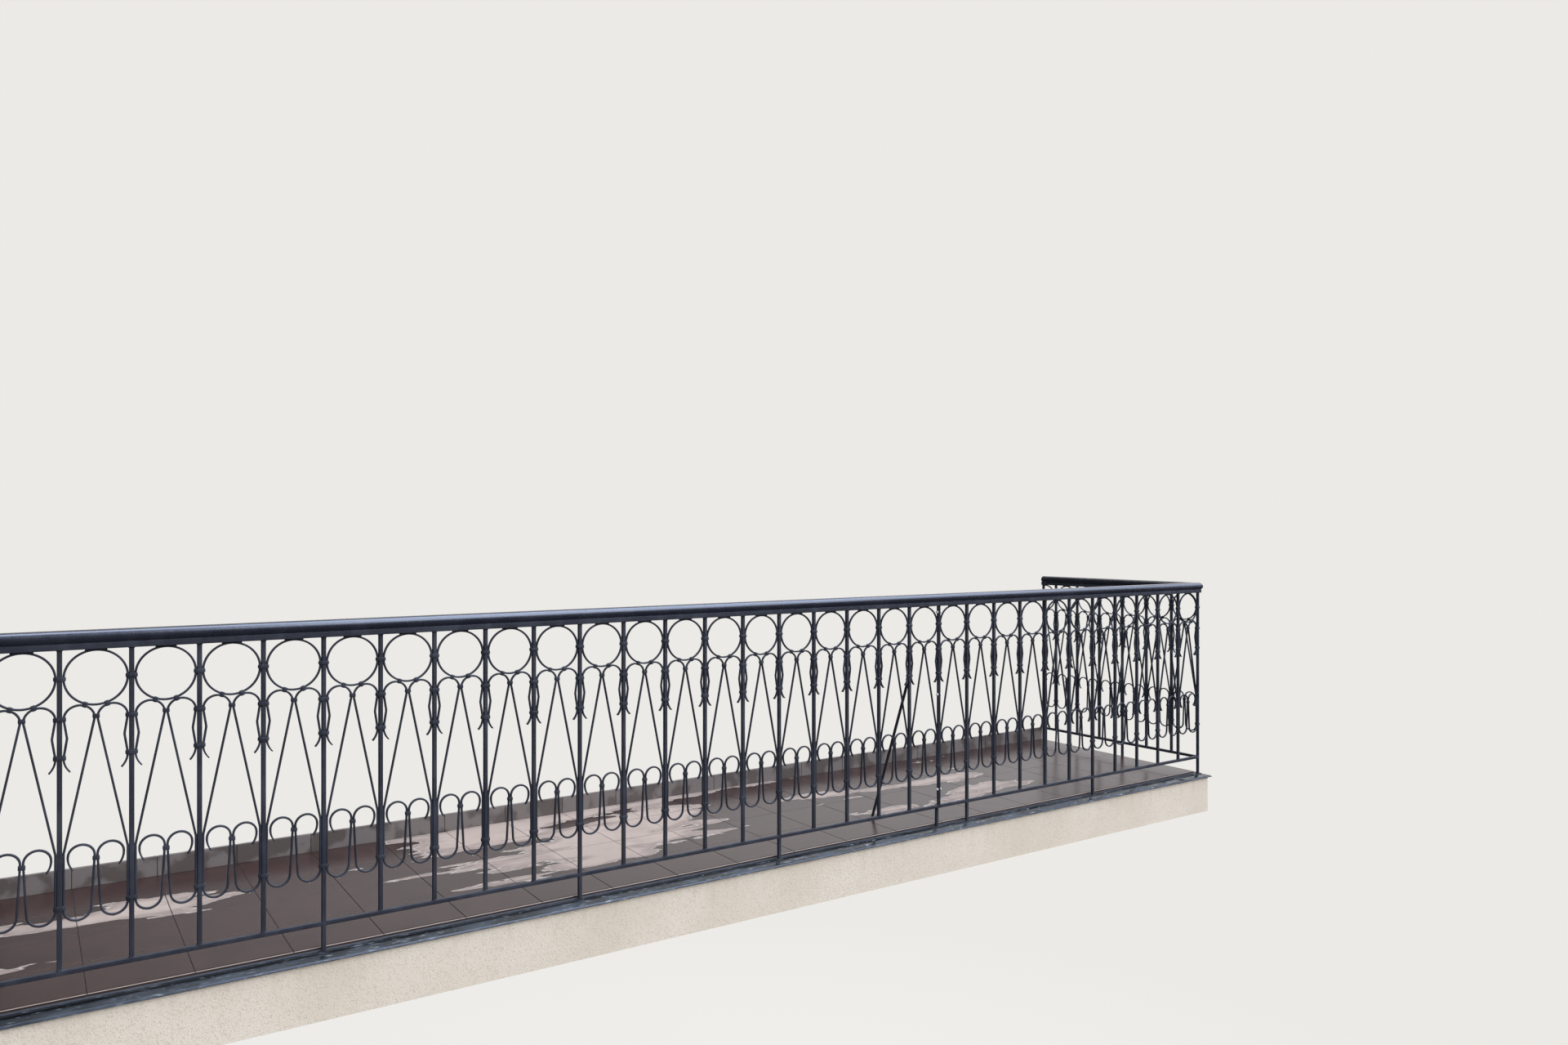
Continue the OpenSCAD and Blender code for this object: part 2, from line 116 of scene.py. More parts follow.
def add_node(tree: Tree, kind: str, values: dict[str | int, Any] | None = None) -> bpy.types.NodeOutputs:
    """Adds a node with its settings and links.

    Args:
        tree: Tree that the node goes into.
        kind: Blender's name for the node.
        values: Settings by the node's own property name, and numbers, hex colours or linked
            sockets by the name or number of the input.

    Returns:
        The node's outputs.
    """
    node = tree.nodes.new(kind)
    for key, value in (values or {}).items():
        if isinstance(key, str) and hasattr(node, key):
            setattr(node, key, value)
        elif isinstance(value, Socket):
            tree.links.new(value, node.inputs[key])
        elif isinstance(value, str) and value.startswith("#"):
            node.inputs[key].default_value = linear(value)
        else:
            node.inputs[key].default_value = value
    return node.outputs


def in_scene(name: str, data: bpy.types.ID) -> Thing:
    """Adds an object to the scene.

    Args:
        name: Its name.
        data: Its mesh, camera or light.

    Returns:
        The object.
    """
    thing = bpy.data.objects.new(name, data)
    bpy.context.scene.collection.objects.link(thing)
    return thing


def arc(centre: Point2, radius: float, start: float, end: float, steps: int) -> list[Point2]:
    """Lists the points of an arc between two angles in degrees, both included, in equal steps."""
    angles = [math.radians(start + (end - start) * k / steps) for k in range(steps + 1)]
    return [(centre[0] + radius * math.cos(a), centre[1] + radius * math.sin(a)) for a in angles]


def bearing(centre: Point2, point: Point2) -> float:
    """Gives the direction from centre to point, in degrees."""
    return math.degrees(math.atan2(point[1] - centre[1], point[0] - centre[0]))


def touch_point(point: Point2, centre: Point2, radius: float, side: int) -> Point2:
    """Finds where the line from a point touches a circle; side is 1 or -1, for one tangent or the other."""
    angle = math.radians(bearing(centre, point)) + side * math.acos(radius / math.dist(point, centre))
    return centre[0] + radius * math.cos(angle), centre[1] + radius * math.sin(angle)


# Materials


class Meet(Enum):
    """How patterns are put together."""

    WHERE_ALL = "MULTIPLY"
    WHERE_ANY = "MAXIMUM"
    SUMMED = "ADD"


class Pattern:
    """Patterns in a node tree, as values that mostly run from 0 to 1."""

    def __init__(self, tree: Tree, place: str = "Object") -> None:
        """Starts in an emptied tree.

        Args:
            tree: The tree.
            place: Output of Texture Coordinate that the patterns lie on.
        """
        tree.nodes.clear()
        self.tree = tree
        self.place = add_node(tree, "ShaderNodeTexCoord")[place]

    def level(
        self, where: Socket, start: float, end: float, low: float = 0.0, high: float = 1.0,
        eased: bool = False,
    ) -> Socket:
        """Brings a value from one range to another.

        Args:
            where: The value.
            start: Result at low and before.
            end: Result at high and beyond.
            low: Start of the value's range.
            high: End of the value's range, which may be the smaller number.
            eased: True for a soft start and end.

        Returns:
            The new value.
        """
        values = {"From Min": low, "From Max": high, "To Min": start, "To Max": end, "Value": where}
        if eased:
            values["interpolation_type"] = "SMOOTHSTEP"
        return add_node(self.tree, "ShaderNodeMapRange", values)["Result"]

    def patches(
        self, size_mm: float, low: float = 0.35, high: float = 0.65, detail: float = 3.0,
        stretch: tuple[float, float, float] = (1, 1, 1),
    ) -> Socket:
        """Lays soft patches.

        Args:
            size_mm: Rough size of a patch.
            low: Level of the noise that counts as 0.
            high: Level of the noise that counts as 1.
            detail: Octaves of finer noise.
            stretch: How much longer the patches are along each axis.

        Returns:
            A value from 0 to 1.
        """
        scale = [1 / (size_mm * MM * s) for s in stretch]
        place = add_node(self.tree, "ShaderNodeMapping", {"Scale": scale, "Vector": self.place})
        values = {"Scale": 1.0, "Detail": detail, "Vector": place["Vector"]}
        noise = add_node(self.tree, "ShaderNodeTexNoise", values)
        return self.level(noise["Fac"], 0.0, 1.0, low, high)

    def grains(self, size_mm: float, low: float, high: float) -> Socket:
        """Scatters round grains.

        Args:
            size_mm: Distance between grains.
            low: Distance from a grain's middle, in grains, that counts as 1.
            high: Distance that counts as 0.

        Returns:
            A value from 0 between grains to 1 on a grain.
        """
        values = {"Scale": 1 / (size_mm * MM), "Vector": self.place}
        cells = add_node(self.tree, "ShaderNodeTexVoronoi", values)
        return self.level(cells["Distance"], 1.0, 0.0, low, high)

    def along(
        self, axis: str, low: float, high: float, start: float = 0.0, end: float = 1.0,
        eased: bool = False, facing: bool = False,
    ) -> Socket:
        """Measures along an axis.

        Args:
            axis: "X", "Y" or "Z".
            low: Where the value is start, in metres, or as a part of the normal.
            high: Where the value is end.
            start: First value.
            end: Last value.
            eased: True for a soft start and end.
            facing: True to measure the surface's normal in place of its position.

        Returns:
            A value from start to end.
        """
        place = add_node(self.tree, "ShaderNodeTexCoord")["Normal"] if facing else self.place
        parts = add_node(self.tree, "ShaderNodeSeparateXYZ", {0: place})
        return self.level(parts[axis], start, end, low, high, eased)

    def joined(self, how: Meet, first: Socket, *others: Socket) -> Socket:
        """Puts patterns together.

        Args:
            how: The way in which they meet.
            first: First pattern.
            *others: The other patterns.

        Returns:
            The combined value.
        """
        for other in others:
            values = {"operation": how.value, 0: first, 1: other}
            first = add_node(self.tree, "ShaderNodeMath", values)["Value"]
        return first

    def coats(self, under: str | Socket, *layers: tuple[Socket, str | Socket, float]) -> Socket:
        """Lays colours over one another, each a hex colour or a socket.

        Args:
            under: Lowest colour.
            *layers: For each layer its pattern, its colour, and how much it covers at most.

        Returns:
            The colour that shows.
        """
        for where, colour, share in layers:
            cover = where if share == 1 else self.level(where, 0.0, share)
            values = {"data_type": "RGBA", "Factor": cover, 6: under, 7: colour}
            under = add_node(self.tree, "ShaderNodeMix", values)[2]
        return under


class Surface(Pattern):
    """A material under way."""

    def __init__(self, name: str) -> None:
        """Starts an empty material.

        Args:
            name: Its name.
        """
        self.material = bpy.data.materials.new(name)
        self.material.use_nodes = True
        super().__init__(self.material.node_tree)
        self.normal: dict[str, Socket] = {}

    def relief(self, height: Socket, depth_mm: float) -> None:
        """Adds a relief to the surface.

        Args:
            height: Value from 0 in the hollows to 1 on the tops.
            depth_mm: Difference in height between them, below 0 if the pattern marks hollows.
        """
        values = {"invert": depth_mm < 0, "Distance": abs(depth_mm) * MM, "Height": height}
        bump = add_node(self.tree, "ShaderNodeBump", values | self.normal)
        self.normal = {"Normal": bump["Normal"]}

    def finish(self, colour: str | Socket, roughness: float | Socket, **sockets: float) -> Material:
        """Ends the material in a Principled shader.

        Args:
            colour: Base colour, as a hex colour or a socket.
            roughness: Roughness, as a number or a socket.
            **sockets: Further constants of the shader by name, with _ for a space.

        Returns:
            The finished material.
        """
        values = {"Base Color": colour, "Roughness": roughness} | self.normal
        values |= {name.replace("_", " "): number for name, number in sockets.items()}
        shader = add_node(self.tree, "ShaderNodeBsdfPrincipled", values)
        add_node(self.tree, "ShaderNodeOutputMaterial", {"Surface": shader["BSDF"]})
        return self.material


@dataclass(frozen=True)
class ForgedEnamel:
    """Brushed satin enamel over forged iron.

    The hammered bars under it give broad, shallow dents, the brush leaves a fine orange peel, and
    the coat is anthracite with a blue cast. It has worn thinner and duller in places.
    """

    name: str = "satin_enamel_on_forged_iron"
    coat: str = "#272a35"
    thin_coat: str = "#363b47"
    dent_mm: float = 24.0
    dent_depth_mm: float = 0.5
    peel_mm: float = 2.6  # the widest of it, because finer peel doesn't show
    peel_depth_mm: float = 0.07
    gloss: tuple[float, float] = (0.38, 0.55)
    film: float = 0.0

    def material(self) -> Material:
        """Builds the material.

        Returns:
            The material.
        """
        surface = Surface(self.name)
        worn = surface.patches(60, 0.45, 0.75, stretch=(1, 1, 2.5))
        surface.relief(surface.patches(self.dent_mm, 0.2, 0.8, 1.0), self.dent_depth_mm)
        surface.relief(surface.patches(self.peel_mm, 0.2, 0.8, 1.0), self.peel_depth_mm)
        gloss = surface.level(surface.patches(35), self.gloss[1], self.gloss[0])
        colour = surface.coats(self.coat, (worn, self.thin_coat, 1))
        return surface.finish(colour, gloss, Coat_Weight=self.film, Coat_Roughness=0.12)


@dataclass(frozen=True)
class CoatedSheet:
    """Slate-blue coated steel sheet, wet from rain.

    It is nearly smooth, with the slow waves of hand-bent sheet that break up reflections, darker
    films of water, and paler streaks that are partly dried dirt and partly painted reflection of
    wet streaks. The flat band inside the fold holds water and grit and looks almost black, and the
    fold's steep outer side is painted as a dark line of shade.
    """

    name: str = "slate_blue_coated_sheet"
    coat: str = "#363f4a"
    wet_coat: str = "#232931"
    soaked: str = "#1d242d"
    grit_and_fold_shade: str = "#0b0d10"
    dirt_and_wet_sheen: str = "#8f9ba8"
    wave_mm: float = 160.0
    wave_depth_mm: float = 1.2
    flat_z: float = 0.102

    def material(self) -> Material:
        """Builds the material.

        Returns:
            The material.
        """
        surface = Surface(self.name)
        wet = surface.patches(90, 0.42, 0.56, stretch=(2.2, 1, 1))
        # Pale streaks along the sheet: partly dried dirt, partly painted reflection of wet streaks.
        streak = surface.patches(10, 0.58, 0.8, 4.0, stretch=(4, 1, 1))
        flat = surface.along("Z", self.flat_z - 1.2 * MM, self.flat_z - 0.5 * MM)
        specks = surface.patches(14, 0.56, 0.66, 4.0, stretch=(2.5, 1, 1))
        below = surface.along("Z", self.flat_z - 5 * MM, self.flat_z - 4 * MM)
        # The fold's steep outer side, where its shadow falls, is painted near black as shade; the same
        # colour marks grit specks in the flat band.
        fold = surface.joined(Meet.WHERE_ALL, surface.along("Z", 0.6, 0.35, facing=True), below)
        dark = surface.joined(Meet.WHERE_ANY, surface.joined(Meet.WHERE_ALL, specks, flat), fold)
        surface.relief(surface.patches(self.wave_mm, 0.2, 0.8, 1.0), self.wave_depth_mm)
        colour = surface.coats(
            self.coat, (wet, self.wet_coat, 1), (flat, self.soaked, 0.8), (dark, self.grit_and_fold_shade, 1),
            (streak, self.dirt_and_wet_sheen, 1),
        )
        return surface.finish(colour, surface.level(wet, 0.42, 0.12), Specular_IOR_Level=0.5)


@dataclass(frozen=True)
class GrainyRender:
    """Scraped mineral render in a pale cream.

    Grains of 2 to 3 mm stand in it and throw small shadows, its tone drifts softly, and faint
    grey runs come down from the sheet above it. Its small hollows are painted darker as shade.
    """

    name: str = "scraped_mineral_render"
    face: str = "#ddd6cc"
    drift: str = "#d3cabe"
    light_grain: str = "#e8e3db"
    hollow_shade: str = "#c3bbaf"
    run: str = "#c0b8ad"
    grain_mm: float = 3.2
    grain_depth_mm: float = 0.45

    def material(self) -> Material:
        """Builds the material.

        Returns:
            The material.
        """
        surface = Surface(self.name)
        grain = surface.grains(self.grain_mm, 0.1, 0.6)
        hollows = surface.patches(6, 0.5, 0.7, 2.0)
        streaks = surface.patches(40, 0.52, 0.78, stretch=(1, 1, 8))
        runs = surface.joined(Meet.WHERE_ALL, streaks, surface.along("Z", -0.03, 0.09))
        # The darker tone in the hollows is painted shade.
        colour = surface.coats(
            self.face, (surface.patches(380), self.drift, 1), (grain, self.light_grain, 0.5),
            (hollows, self.hollow_shade, 0.65), (runs, self.run, 0.6),
        )
        surface.relief(grain, self.grain_depth_mm)
        surface.relief(hollows, -0.4)
        return surface.finish(colour, 0.92, Specular_IOR_Level=0.2)


@dataclass(frozen=True)
class CastConcrete:
    """Plain cast concrete, grey, with board marks and small air holes."""

    name: str = "cast_concrete"
    face: str = "#bcb6ac"
    dark: str = "#a39c92"

    def material(self) -> Material:
        """Builds the material.

        Returns:
            The material.
        """
        surface = Surface(self.name)
        colour = surface.coats(self.face, (surface.patches(120), self.dark, 1))
        surface.relief(surface.patches(60, 0.3, 0.7, stretch=(12, 1, 1)), 0.8)
        surface.relief(surface.grains(18, 0.03, 0.09), -1.5)
        return surface.finish(colour, 0.9, Specular_IOR_Level=0.2)


@dataclass(frozen=True)
class FiredTile:
    """Unglazed stoneware tile, drying after rain.

    Dry, it is matt and a pale pinkish grey, and half dry it is a middling grey. Where it is still
    wet it is a deep brown with a soft shine. The wet parts have crisp, irregular edges with a
    paler tide mark, and the outer edge of the floor is wet all along. The rounded nose is painted
    paler as a highlight, and the face below it darker, as dirt and painted shade.
    """

    name: str = "unglazed_brown_stoneware"
    dry: str = "#b3a6a0"
    dry_shade: str = "#9f918a"
    half_dry: str = "#867a75"
    wet: str = "#432f2d"
    wet_shade: str = "#2f2322"
    tide: str = "#d6cdc8"
    nose_highlight: str = "#aaa09a"
    face_dirt_and_shade: str = "#3b312c"
    module_mm: float = 295.0
    sand_mm: float = 3.0  # coarser than its real grit, so that it shows
    pool_mm: float = 330.0
    outer_y: float = -1.19
    shore: float = 0.5

    def material(self) -> Material:
        """Builds the material.

        Returns:
            The material.
        """
        surface, shore = Surface(self.name), self.shore
        module = [self.module_mm * MM] * 3
        values = {"operation": "SNAP", 0: surface.place, 1: module}
        cell = add_node(surface.tree, "ShaderNodeVectorMath", values)["Vector"]
        shade = add_node(surface.tree, "ShaderNodeTexWhiteNoise", {"Vector": cell})["Value"]
        depth = surface.joined(
            Meet.SUMMED,
            surface.patches(self.pool_mm, 0.25, 0.75, 6.0, stretch=(2.6, 0.8, 1)),
            surface.along("Y", self.outer_y + 0.34, self.outer_y + 0.12, end=0.5),
            surface.along("X", -0.9, -1.9, end=0.27),
            surface.along("X", 1.7, 2.5, end=0.16),
        )
        wet = surface.level(depth, 0, 1, shore, shore + 0.015)
        tide = surface.joined(Meet.WHERE_ALL, wet, surface.level(depth, 1, 0, shore + 0.015, shore + 0.028))
        sand = surface.level(surface.patches(self.sand_mm, 0.35, 0.8), 0, 0.4)
        stain = surface.level(surface.patches(110, 0.4, 0.75, 5.0), 0, 0.8)
        shaded = surface.joined(Meet.WHERE_ANY, surface.level(shade, 0, 0.3), stain)
        fresh = surface.joined(Meet.WHERE_ANY, shaded, surface.level(depth, 0.75, 0, shore + 0.03, 0.78))
        drying = surface.level(depth, 0, 0.8, shore - 0.12, shore - 0.01)
        damp = surface.coats(self.wet, (fresh, self.wet_shade, 1), (sand, self.wet_shade, 1))
        # The nose's forward-and-up faces are painted paler as a highlight, and the faces straight to the
        # front darker, as dirt and painted shade.
        downward = surface.along("Y", -0.97, -0.8, facing=True)
        nose = surface.joined(Meet.WHERE_ALL, surface.along("Y", -0.12, -0.5, facing=True), downward)
        colour = surface.coats(
            self.dry, (shaded, self.dry_shade, 1), (sand, self.dry_shade, 1), (drying, self.half_dry, 1),
            (wet, damp, 1), (tide, self.tide, 0.8), (nose, self.nose_highlight, 1),
            (surface.along("Y", -0.85, -0.97, facing=True), self.face_dirt_and_shade, 1),
        )
        surface.relief(surface.joined(Meet.WHERE_ALL, sand, surface.level(wet, 1, 0.03)), 0.5)
        return surface.finish(colour, surface.level(wet, 0.75, 0.24), Specular_IOR_Level=0.34)


@dataclass(frozen=True)
class SkirtingTile:
    """Grey stoneware skirting, matt, with a fine sandy face and darker damp patches."""

    name: str = "dark_skirting_tile"
    face: str = "#77706e"
    patch: str = "#5a5351"

    def material(self) -> Material:
        """Builds the material.

        Returns:
            The material.
        """
        surface = Surface(self.name)
        damp, sand = surface.patches(120, 0.46, 0.54, 4.0), surface.patches(3, 0.35, 0.8)
        colour = surface.coats(self.face, (damp, self.patch, 1), (sand, self.patch, 0.4))
        surface.relief(sand, 0.25)
        return surface.finish(colour, surface.level(damp, 0.7, 0.35))


@dataclass(frozen=True)
class PlainFinish:
    """A small finish of one colour with soft patches of a second one.

    It serves joints, sealant and fittings, of which only a few pixels show.
    """

    name: str
    face: str
    patch: str
    roughness: float
    metallic: float = 0.0
    patch_mm: float = 8.0
    relief_mm: float = 0.15

    def material(self) -> Material:
        """Builds the material.

        Returns:
            The material.
        """
        surface = Surface(self.name)
        patches = surface.patches(self.patch_mm)
        surface.relief(patches, self.relief_mm)
        colour = surface.coats(self.face, (patches, self.patch, 1))
        return surface.finish(colour, self.roughness, Metallic=self.metallic)


@dataclass(frozen=True)
class RainWater:
    """Clean rain water, which only shows by what it bends and mirrors."""

    name: str = "rain_water"

    def material(self) -> Material:
        """Builds the material."""
        return Surface(self.name).finish("#ffffff", 0.02, IOR=1.33, Transmission_Weight=1.0)


class Palette:
    """Every finish of the balcony, as built materials."""

    def __init__(self, edge_z: float) -> None:
        """Builds all materials.

        Args:
            edge_z: Height of the sheet's flat band.
        """
        self.iron = ForgedEnamel().material()
        self.rail_iron = ForgedEnamel(
            "wet_enamel_on_steel_tube", coat="#20232f", thin_coat="#2a2d39", dent_mm=17.0,
            dent_depth_mm=0.4, peel_depth_mm=0.03, gloss=(0.2, 0.34), film=1.0,
        ).material()
        self.sheet = CoatedSheet(flat_z=edge_z).material()
        self.render = GrainyRender().material()
        self.concrete = CastConcrete().material()
        self.tile = FiredTile().material()
        self.skirting = SkirtingTile().material()
        self.joint = PlainFinish("cement_joint", "#2e2623", "#3d3430", 0.9).material()
        # The sealant's near-black is partly its own colour and partly painted shade, darkened for the
        # shadow round the posts' feet.
        self.mastic_and_shade = PlainFinish("black_mastic", "#121417", "#20242a", 0.4, patch_mm=14).material()
        # The bolts' near-white is partly the zinc's white bloom and partly a painted glint.
        bloom_and_glint = PlainFinish("zinc_plate_with_white_bloom", "#f6f7f8", "#dfe2e4", 0.6, 0.2, patch_mm=5)
        self.bolt = bloom_and_glint.material()
        self.water = RainWater().material()


# Mesh making


@dataclass
class Station:
    """One cross-section on a bar's path: its middle, and its outline about that middle."""

    at: Vector
    outline: list[Point2]


def bar_outline(width: float, depth: float, round_off: float) -> list[Point2]:
    """Gives the eight outline points of a rectangular bar with its corners taken off."""
    w, d, r = width / 2, depth / 2, round_off
    return point_symmetric([(w, -d + r), (w, d - r), (w - r, d), (-w + r, d)])


def point_symmetric(half: list[Point2]) -> list[Point2]:
    """Adds to half an outline its other half, which is the same turned half round."""
    return half + [(-u, -v) for u, v in half]


def round_outline(radius: float, count: int) -> list[Point2]:
    """Gives the outline of a round bar as count points."""
    return arc((0, 0), radius, 0, 360 - 360 / count, count - 1)


def made(shape: bmesh.types.BMesh) -> Mesh:
    """Turns a bmesh into a smooth mesh whose faces point outwards.

    Args:
        shape: The bmesh, which is used up.

    Returns:
        The mesh.
    """
    bmesh.ops.recalc_face_normals(shape, faces=shape.faces)
    mesh = bpy.data.meshes.new("shape")
    shape.to_mesh(mesh)
    shape.free()
    mesh.shade_smooth()
    mesh.set_sharp_from_angle(angle=math.radians(50))
    return mesh


def skinned(rings: Iterable[Places], closed: bool = False) -> Mesh:
    """Makes a closed skin over a row of rings.

    Args:
        rings: Rings of as many points each.
        closed: True if the last ring joins the first.

    Returns:
        The mesh.
    """
    shape = bmesh.new()
    rows = [[shape.verts.new(p) for p in ring] for ring in rings]
    for near, far in zip(rows, rows[1:] + rows[:1] if closed else rows[1:]):
        for k in range(len(near)):
            after = (k + 1) % len(near)
            shape.faces.new((near[k], near[after], far[after], far[k]))
    if not closed:
        shape.faces.new(rows[0][::-1])
        shape.faces.new(rows[-1])
    return made(shape)


def prism(outline: Points, ends: Iterable[float]) -> Mesh:
    """Skins an outline in y and z from one end along x to the other."""
    return skinned([Vector((x, y, z)) for y, z in outline] for x in ends)


def forged(stations: Sequence[Station], across: Vector = INWARD, closed: bool = False) -> Mesh:
    """Forges a bar along a path.

    Args:
        stations: Cross-sections along the path.
        across: Direction of each outline's second coordinate.
        closed: True for a ring.

    Returns:
        The mesh.
    """
    rings = []
    last = len(stations) - 1
    for i, station in enumerate(stations):
        before = stations[i - 1 if closed or i else i].at
        after = stations[(i + 1) % (last + 1) if closed or i < last else i].at
        side = (after - before).cross(across).normalized()
        rings.append([station.at + side * u + across * v for u, v in station.outline])
    return skinned(rings, closed)


def drawn_bar(
    foot: Vector, head: Vector, outline: list[Point2], count: int, across: Vector = INWARD
) -> Mesh:
    """Draws a straight bar from foot to head in count stretches."""
    ats = [foot + (head - foot) * (k / count) for k in range(count + 1)]
    return forged([Station(at, outline) for at in ats], across)


def bent(mesh: Mesh, rule: Callable[[Vector], Sequence[float]]) -> Mesh:
    """Bends a copy of a mesh, and turns its faces outwards.

    Args:
        mesh: The mesh, which stays as it is.
        rule: Gives the new place of each point.

    Returns:
        The copy.
    """
    shape = bmesh.new()
    shape.from_mesh(mesh)
    for vert in shape.verts:
        vert.co = rule(vert.co)
    return made(shape)


def mirrored(mesh: Mesh) -> Mesh:
    """Gives a copy of a mesh mirrored in x."""
    return bent(mesh, lambda p: (-p.x, p.y, p.z))


def welded(meshes: Iterable[Mesh]) -> Mesh:
    """Joins meshes into one.

    Args:
        meshes: The meshes.

    Returns:
        The one mesh.
    """
    shape = bmesh.new()
    for mesh in meshes:
        shape.from_mesh(mesh)
    return made(shape)


# Geometry Nodes trees


def tree_with_inputs(name: str, inputs: dict[str, str]) -> tuple[Tree, bpy.types.NodeOutputs]:
    """Starts a Geometry Nodes tree.

    Args:
        name: Name of the tree.
        inputs: Socket type of each input after the geometry, by its name.

    Returns:
        The tree, and the sockets that its inputs come in by.
    """
    tree = bpy.data.node_groups.new(name, "GeometryNodeTree")
    tree.interface.new_socket("Geometry", in_out="INPUT", socket_type="NodeSocketGeometry")
    for label, kind in inputs.items():
        tree.interface.new_socket(label, in_out="INPUT", socket_type="NodeSocket" + kind)
    tree.interface.new_socket("Geometry", in_out="OUTPUT", socket_type="NodeSocketGeometry")
    return tree, add_node(tree, "NodeGroupInput")


def end_tree(tree: Tree, instances: Socket, material: Socket) -> Tree:
    """Ends a tree with its instances as real geometry in one material.

    Args:
        tree: The tree.
        instances: Its instances.
        material: Their material.

    Returns:
        The tree.
    """
    real = add_node(tree, "GeometryNodeRealizeInstances", {"Geometry": instances})[0]
    dressed = add_node(tree, "GeometryNodeSetMaterial", {"Geometry": real, "Material": material})
    add_node(tree, "NodeGroupOutput", {"Geometry": dressed[0]})
    return tree


def row_of_pieces_tree() -> Tree:
    """Builds the tree that repeats a piece at every vertex.

    Returns:
        The tree.
    """
    tree, given = tree_with_inputs(
        "row_of_pieces",
        {"Piece": "Object", "Turn": "Vector", "Play": "Float", "Seed": "Int", "Material": "Material"},
    )
    piece = add_node(tree, "GeometryNodeObjectInfo", {"Object": given["Piece"]})["Geometry"]
    values = {"data_type": "FLOAT_VECTOR", "Name": "stretch"}
    size = add_node(tree, "GeometryNodeInputNamedAttribute", values)["Attribute"]
    most = add_node(tree, "ShaderNodeCombineXYZ", {i: given["Play"] for i in range(3)})[0]
    least = add_node(tree, "ShaderNodeVectorMath", {"operation": "SCALE", "Scale": -1.0, 0: most})[0]
    values = {"data_type": "FLOAT_VECTOR", 0: least, 1: most, "Seed": given["Seed"]}
    chance = add_node(tree, "FunctionNodeRandomValue", values)[0]
    turn = add_node(tree, "ShaderNodeVectorMath", {"operation": "ADD", 0: given["Turn"], 1: chance})[0]
    values = {"Points": given["Geometry"], "Instance": piece, "Rotation": turn, "Scale": size}
    placed = add_node(tree, "GeometryNodeInstanceOnPoints", values)
    return end_tree(tree, placed["Instances"], given["Material"])


def scattered_drops_tree() -> Tree:
    """Builds the tree that scatters flattened drops over upward faces.

    Returns:
        The tree.
    """
    tree, given = tree_with_inputs(
        "scattered_drops",
        {"Density": "Float", "Radius": "Float", "Upward": "Float", "Seed": "Int", "Material": "Material"},
    )
    normal = add_node(tree, "GeometryNodeInputNormal")[0]
    facing = add_node(tree, "ShaderNodeSeparateXYZ", {"Vector": normal})["Z"]
    values = {"operation": "GREATER_THAN", 0: facing, 1: given["Upward"]}
    upward = add_node(tree, "FunctionNodeCompare", values)["Result"]
    values = {name: given[name] for name in ("Density", "Seed")}
    values |= {"Mesh": given["Geometry"], "Selection": upward}
    spots = add_node(tree, "GeometryNodeDistributePointsOnFaces", values)
    values = {"Segments": 8, "Rings": 5, "Radius": given["Radius"]}
    drop = add_node(tree, "GeometryNodeMeshUVSphere", values)["Mesh"]
    values = {"Scale": (1.0, 1.0, 0.3), "Geometry": drop}
    flat = add_node(tree, "GeometryNodeTransform", values)["Geometry"]
    smooth = add_node(tree, "GeometryNodeSetShadeSmooth", {"Geometry": flat})["Geometry"]
    size = add_node(tree, "FunctionNodeRandomValue", {2: 0.35, 3: 1.3, "Seed": given["Seed"]})[1]
    values = {name: spots[name] for name in ("Points", "Rotation")} | {"Instance": smooth, "Scale": size}
    placed = add_node(tree, "GeometryNodeInstanceOnPoints", values)
    return end_tree(tree, placed["Instances"], given["Material"])


# Workshop and layout


class Slot(Enum):
    """Material slots of the record."""

    IRON = "painted_iron"
    SHEET = "sheet_metal"
    TILE = "floor_tile"
    SKIRTING = "skirting_tile"


@dataclass(frozen=True)
class Rain:
    """Drops of rain on a surface."""

    per_metre: float  # Drops on each square metre
    radius: float  # Radius of a middling drop
    seed: int  # Seed of their places
    upward: float  # Least z of a face's normal that takes drops


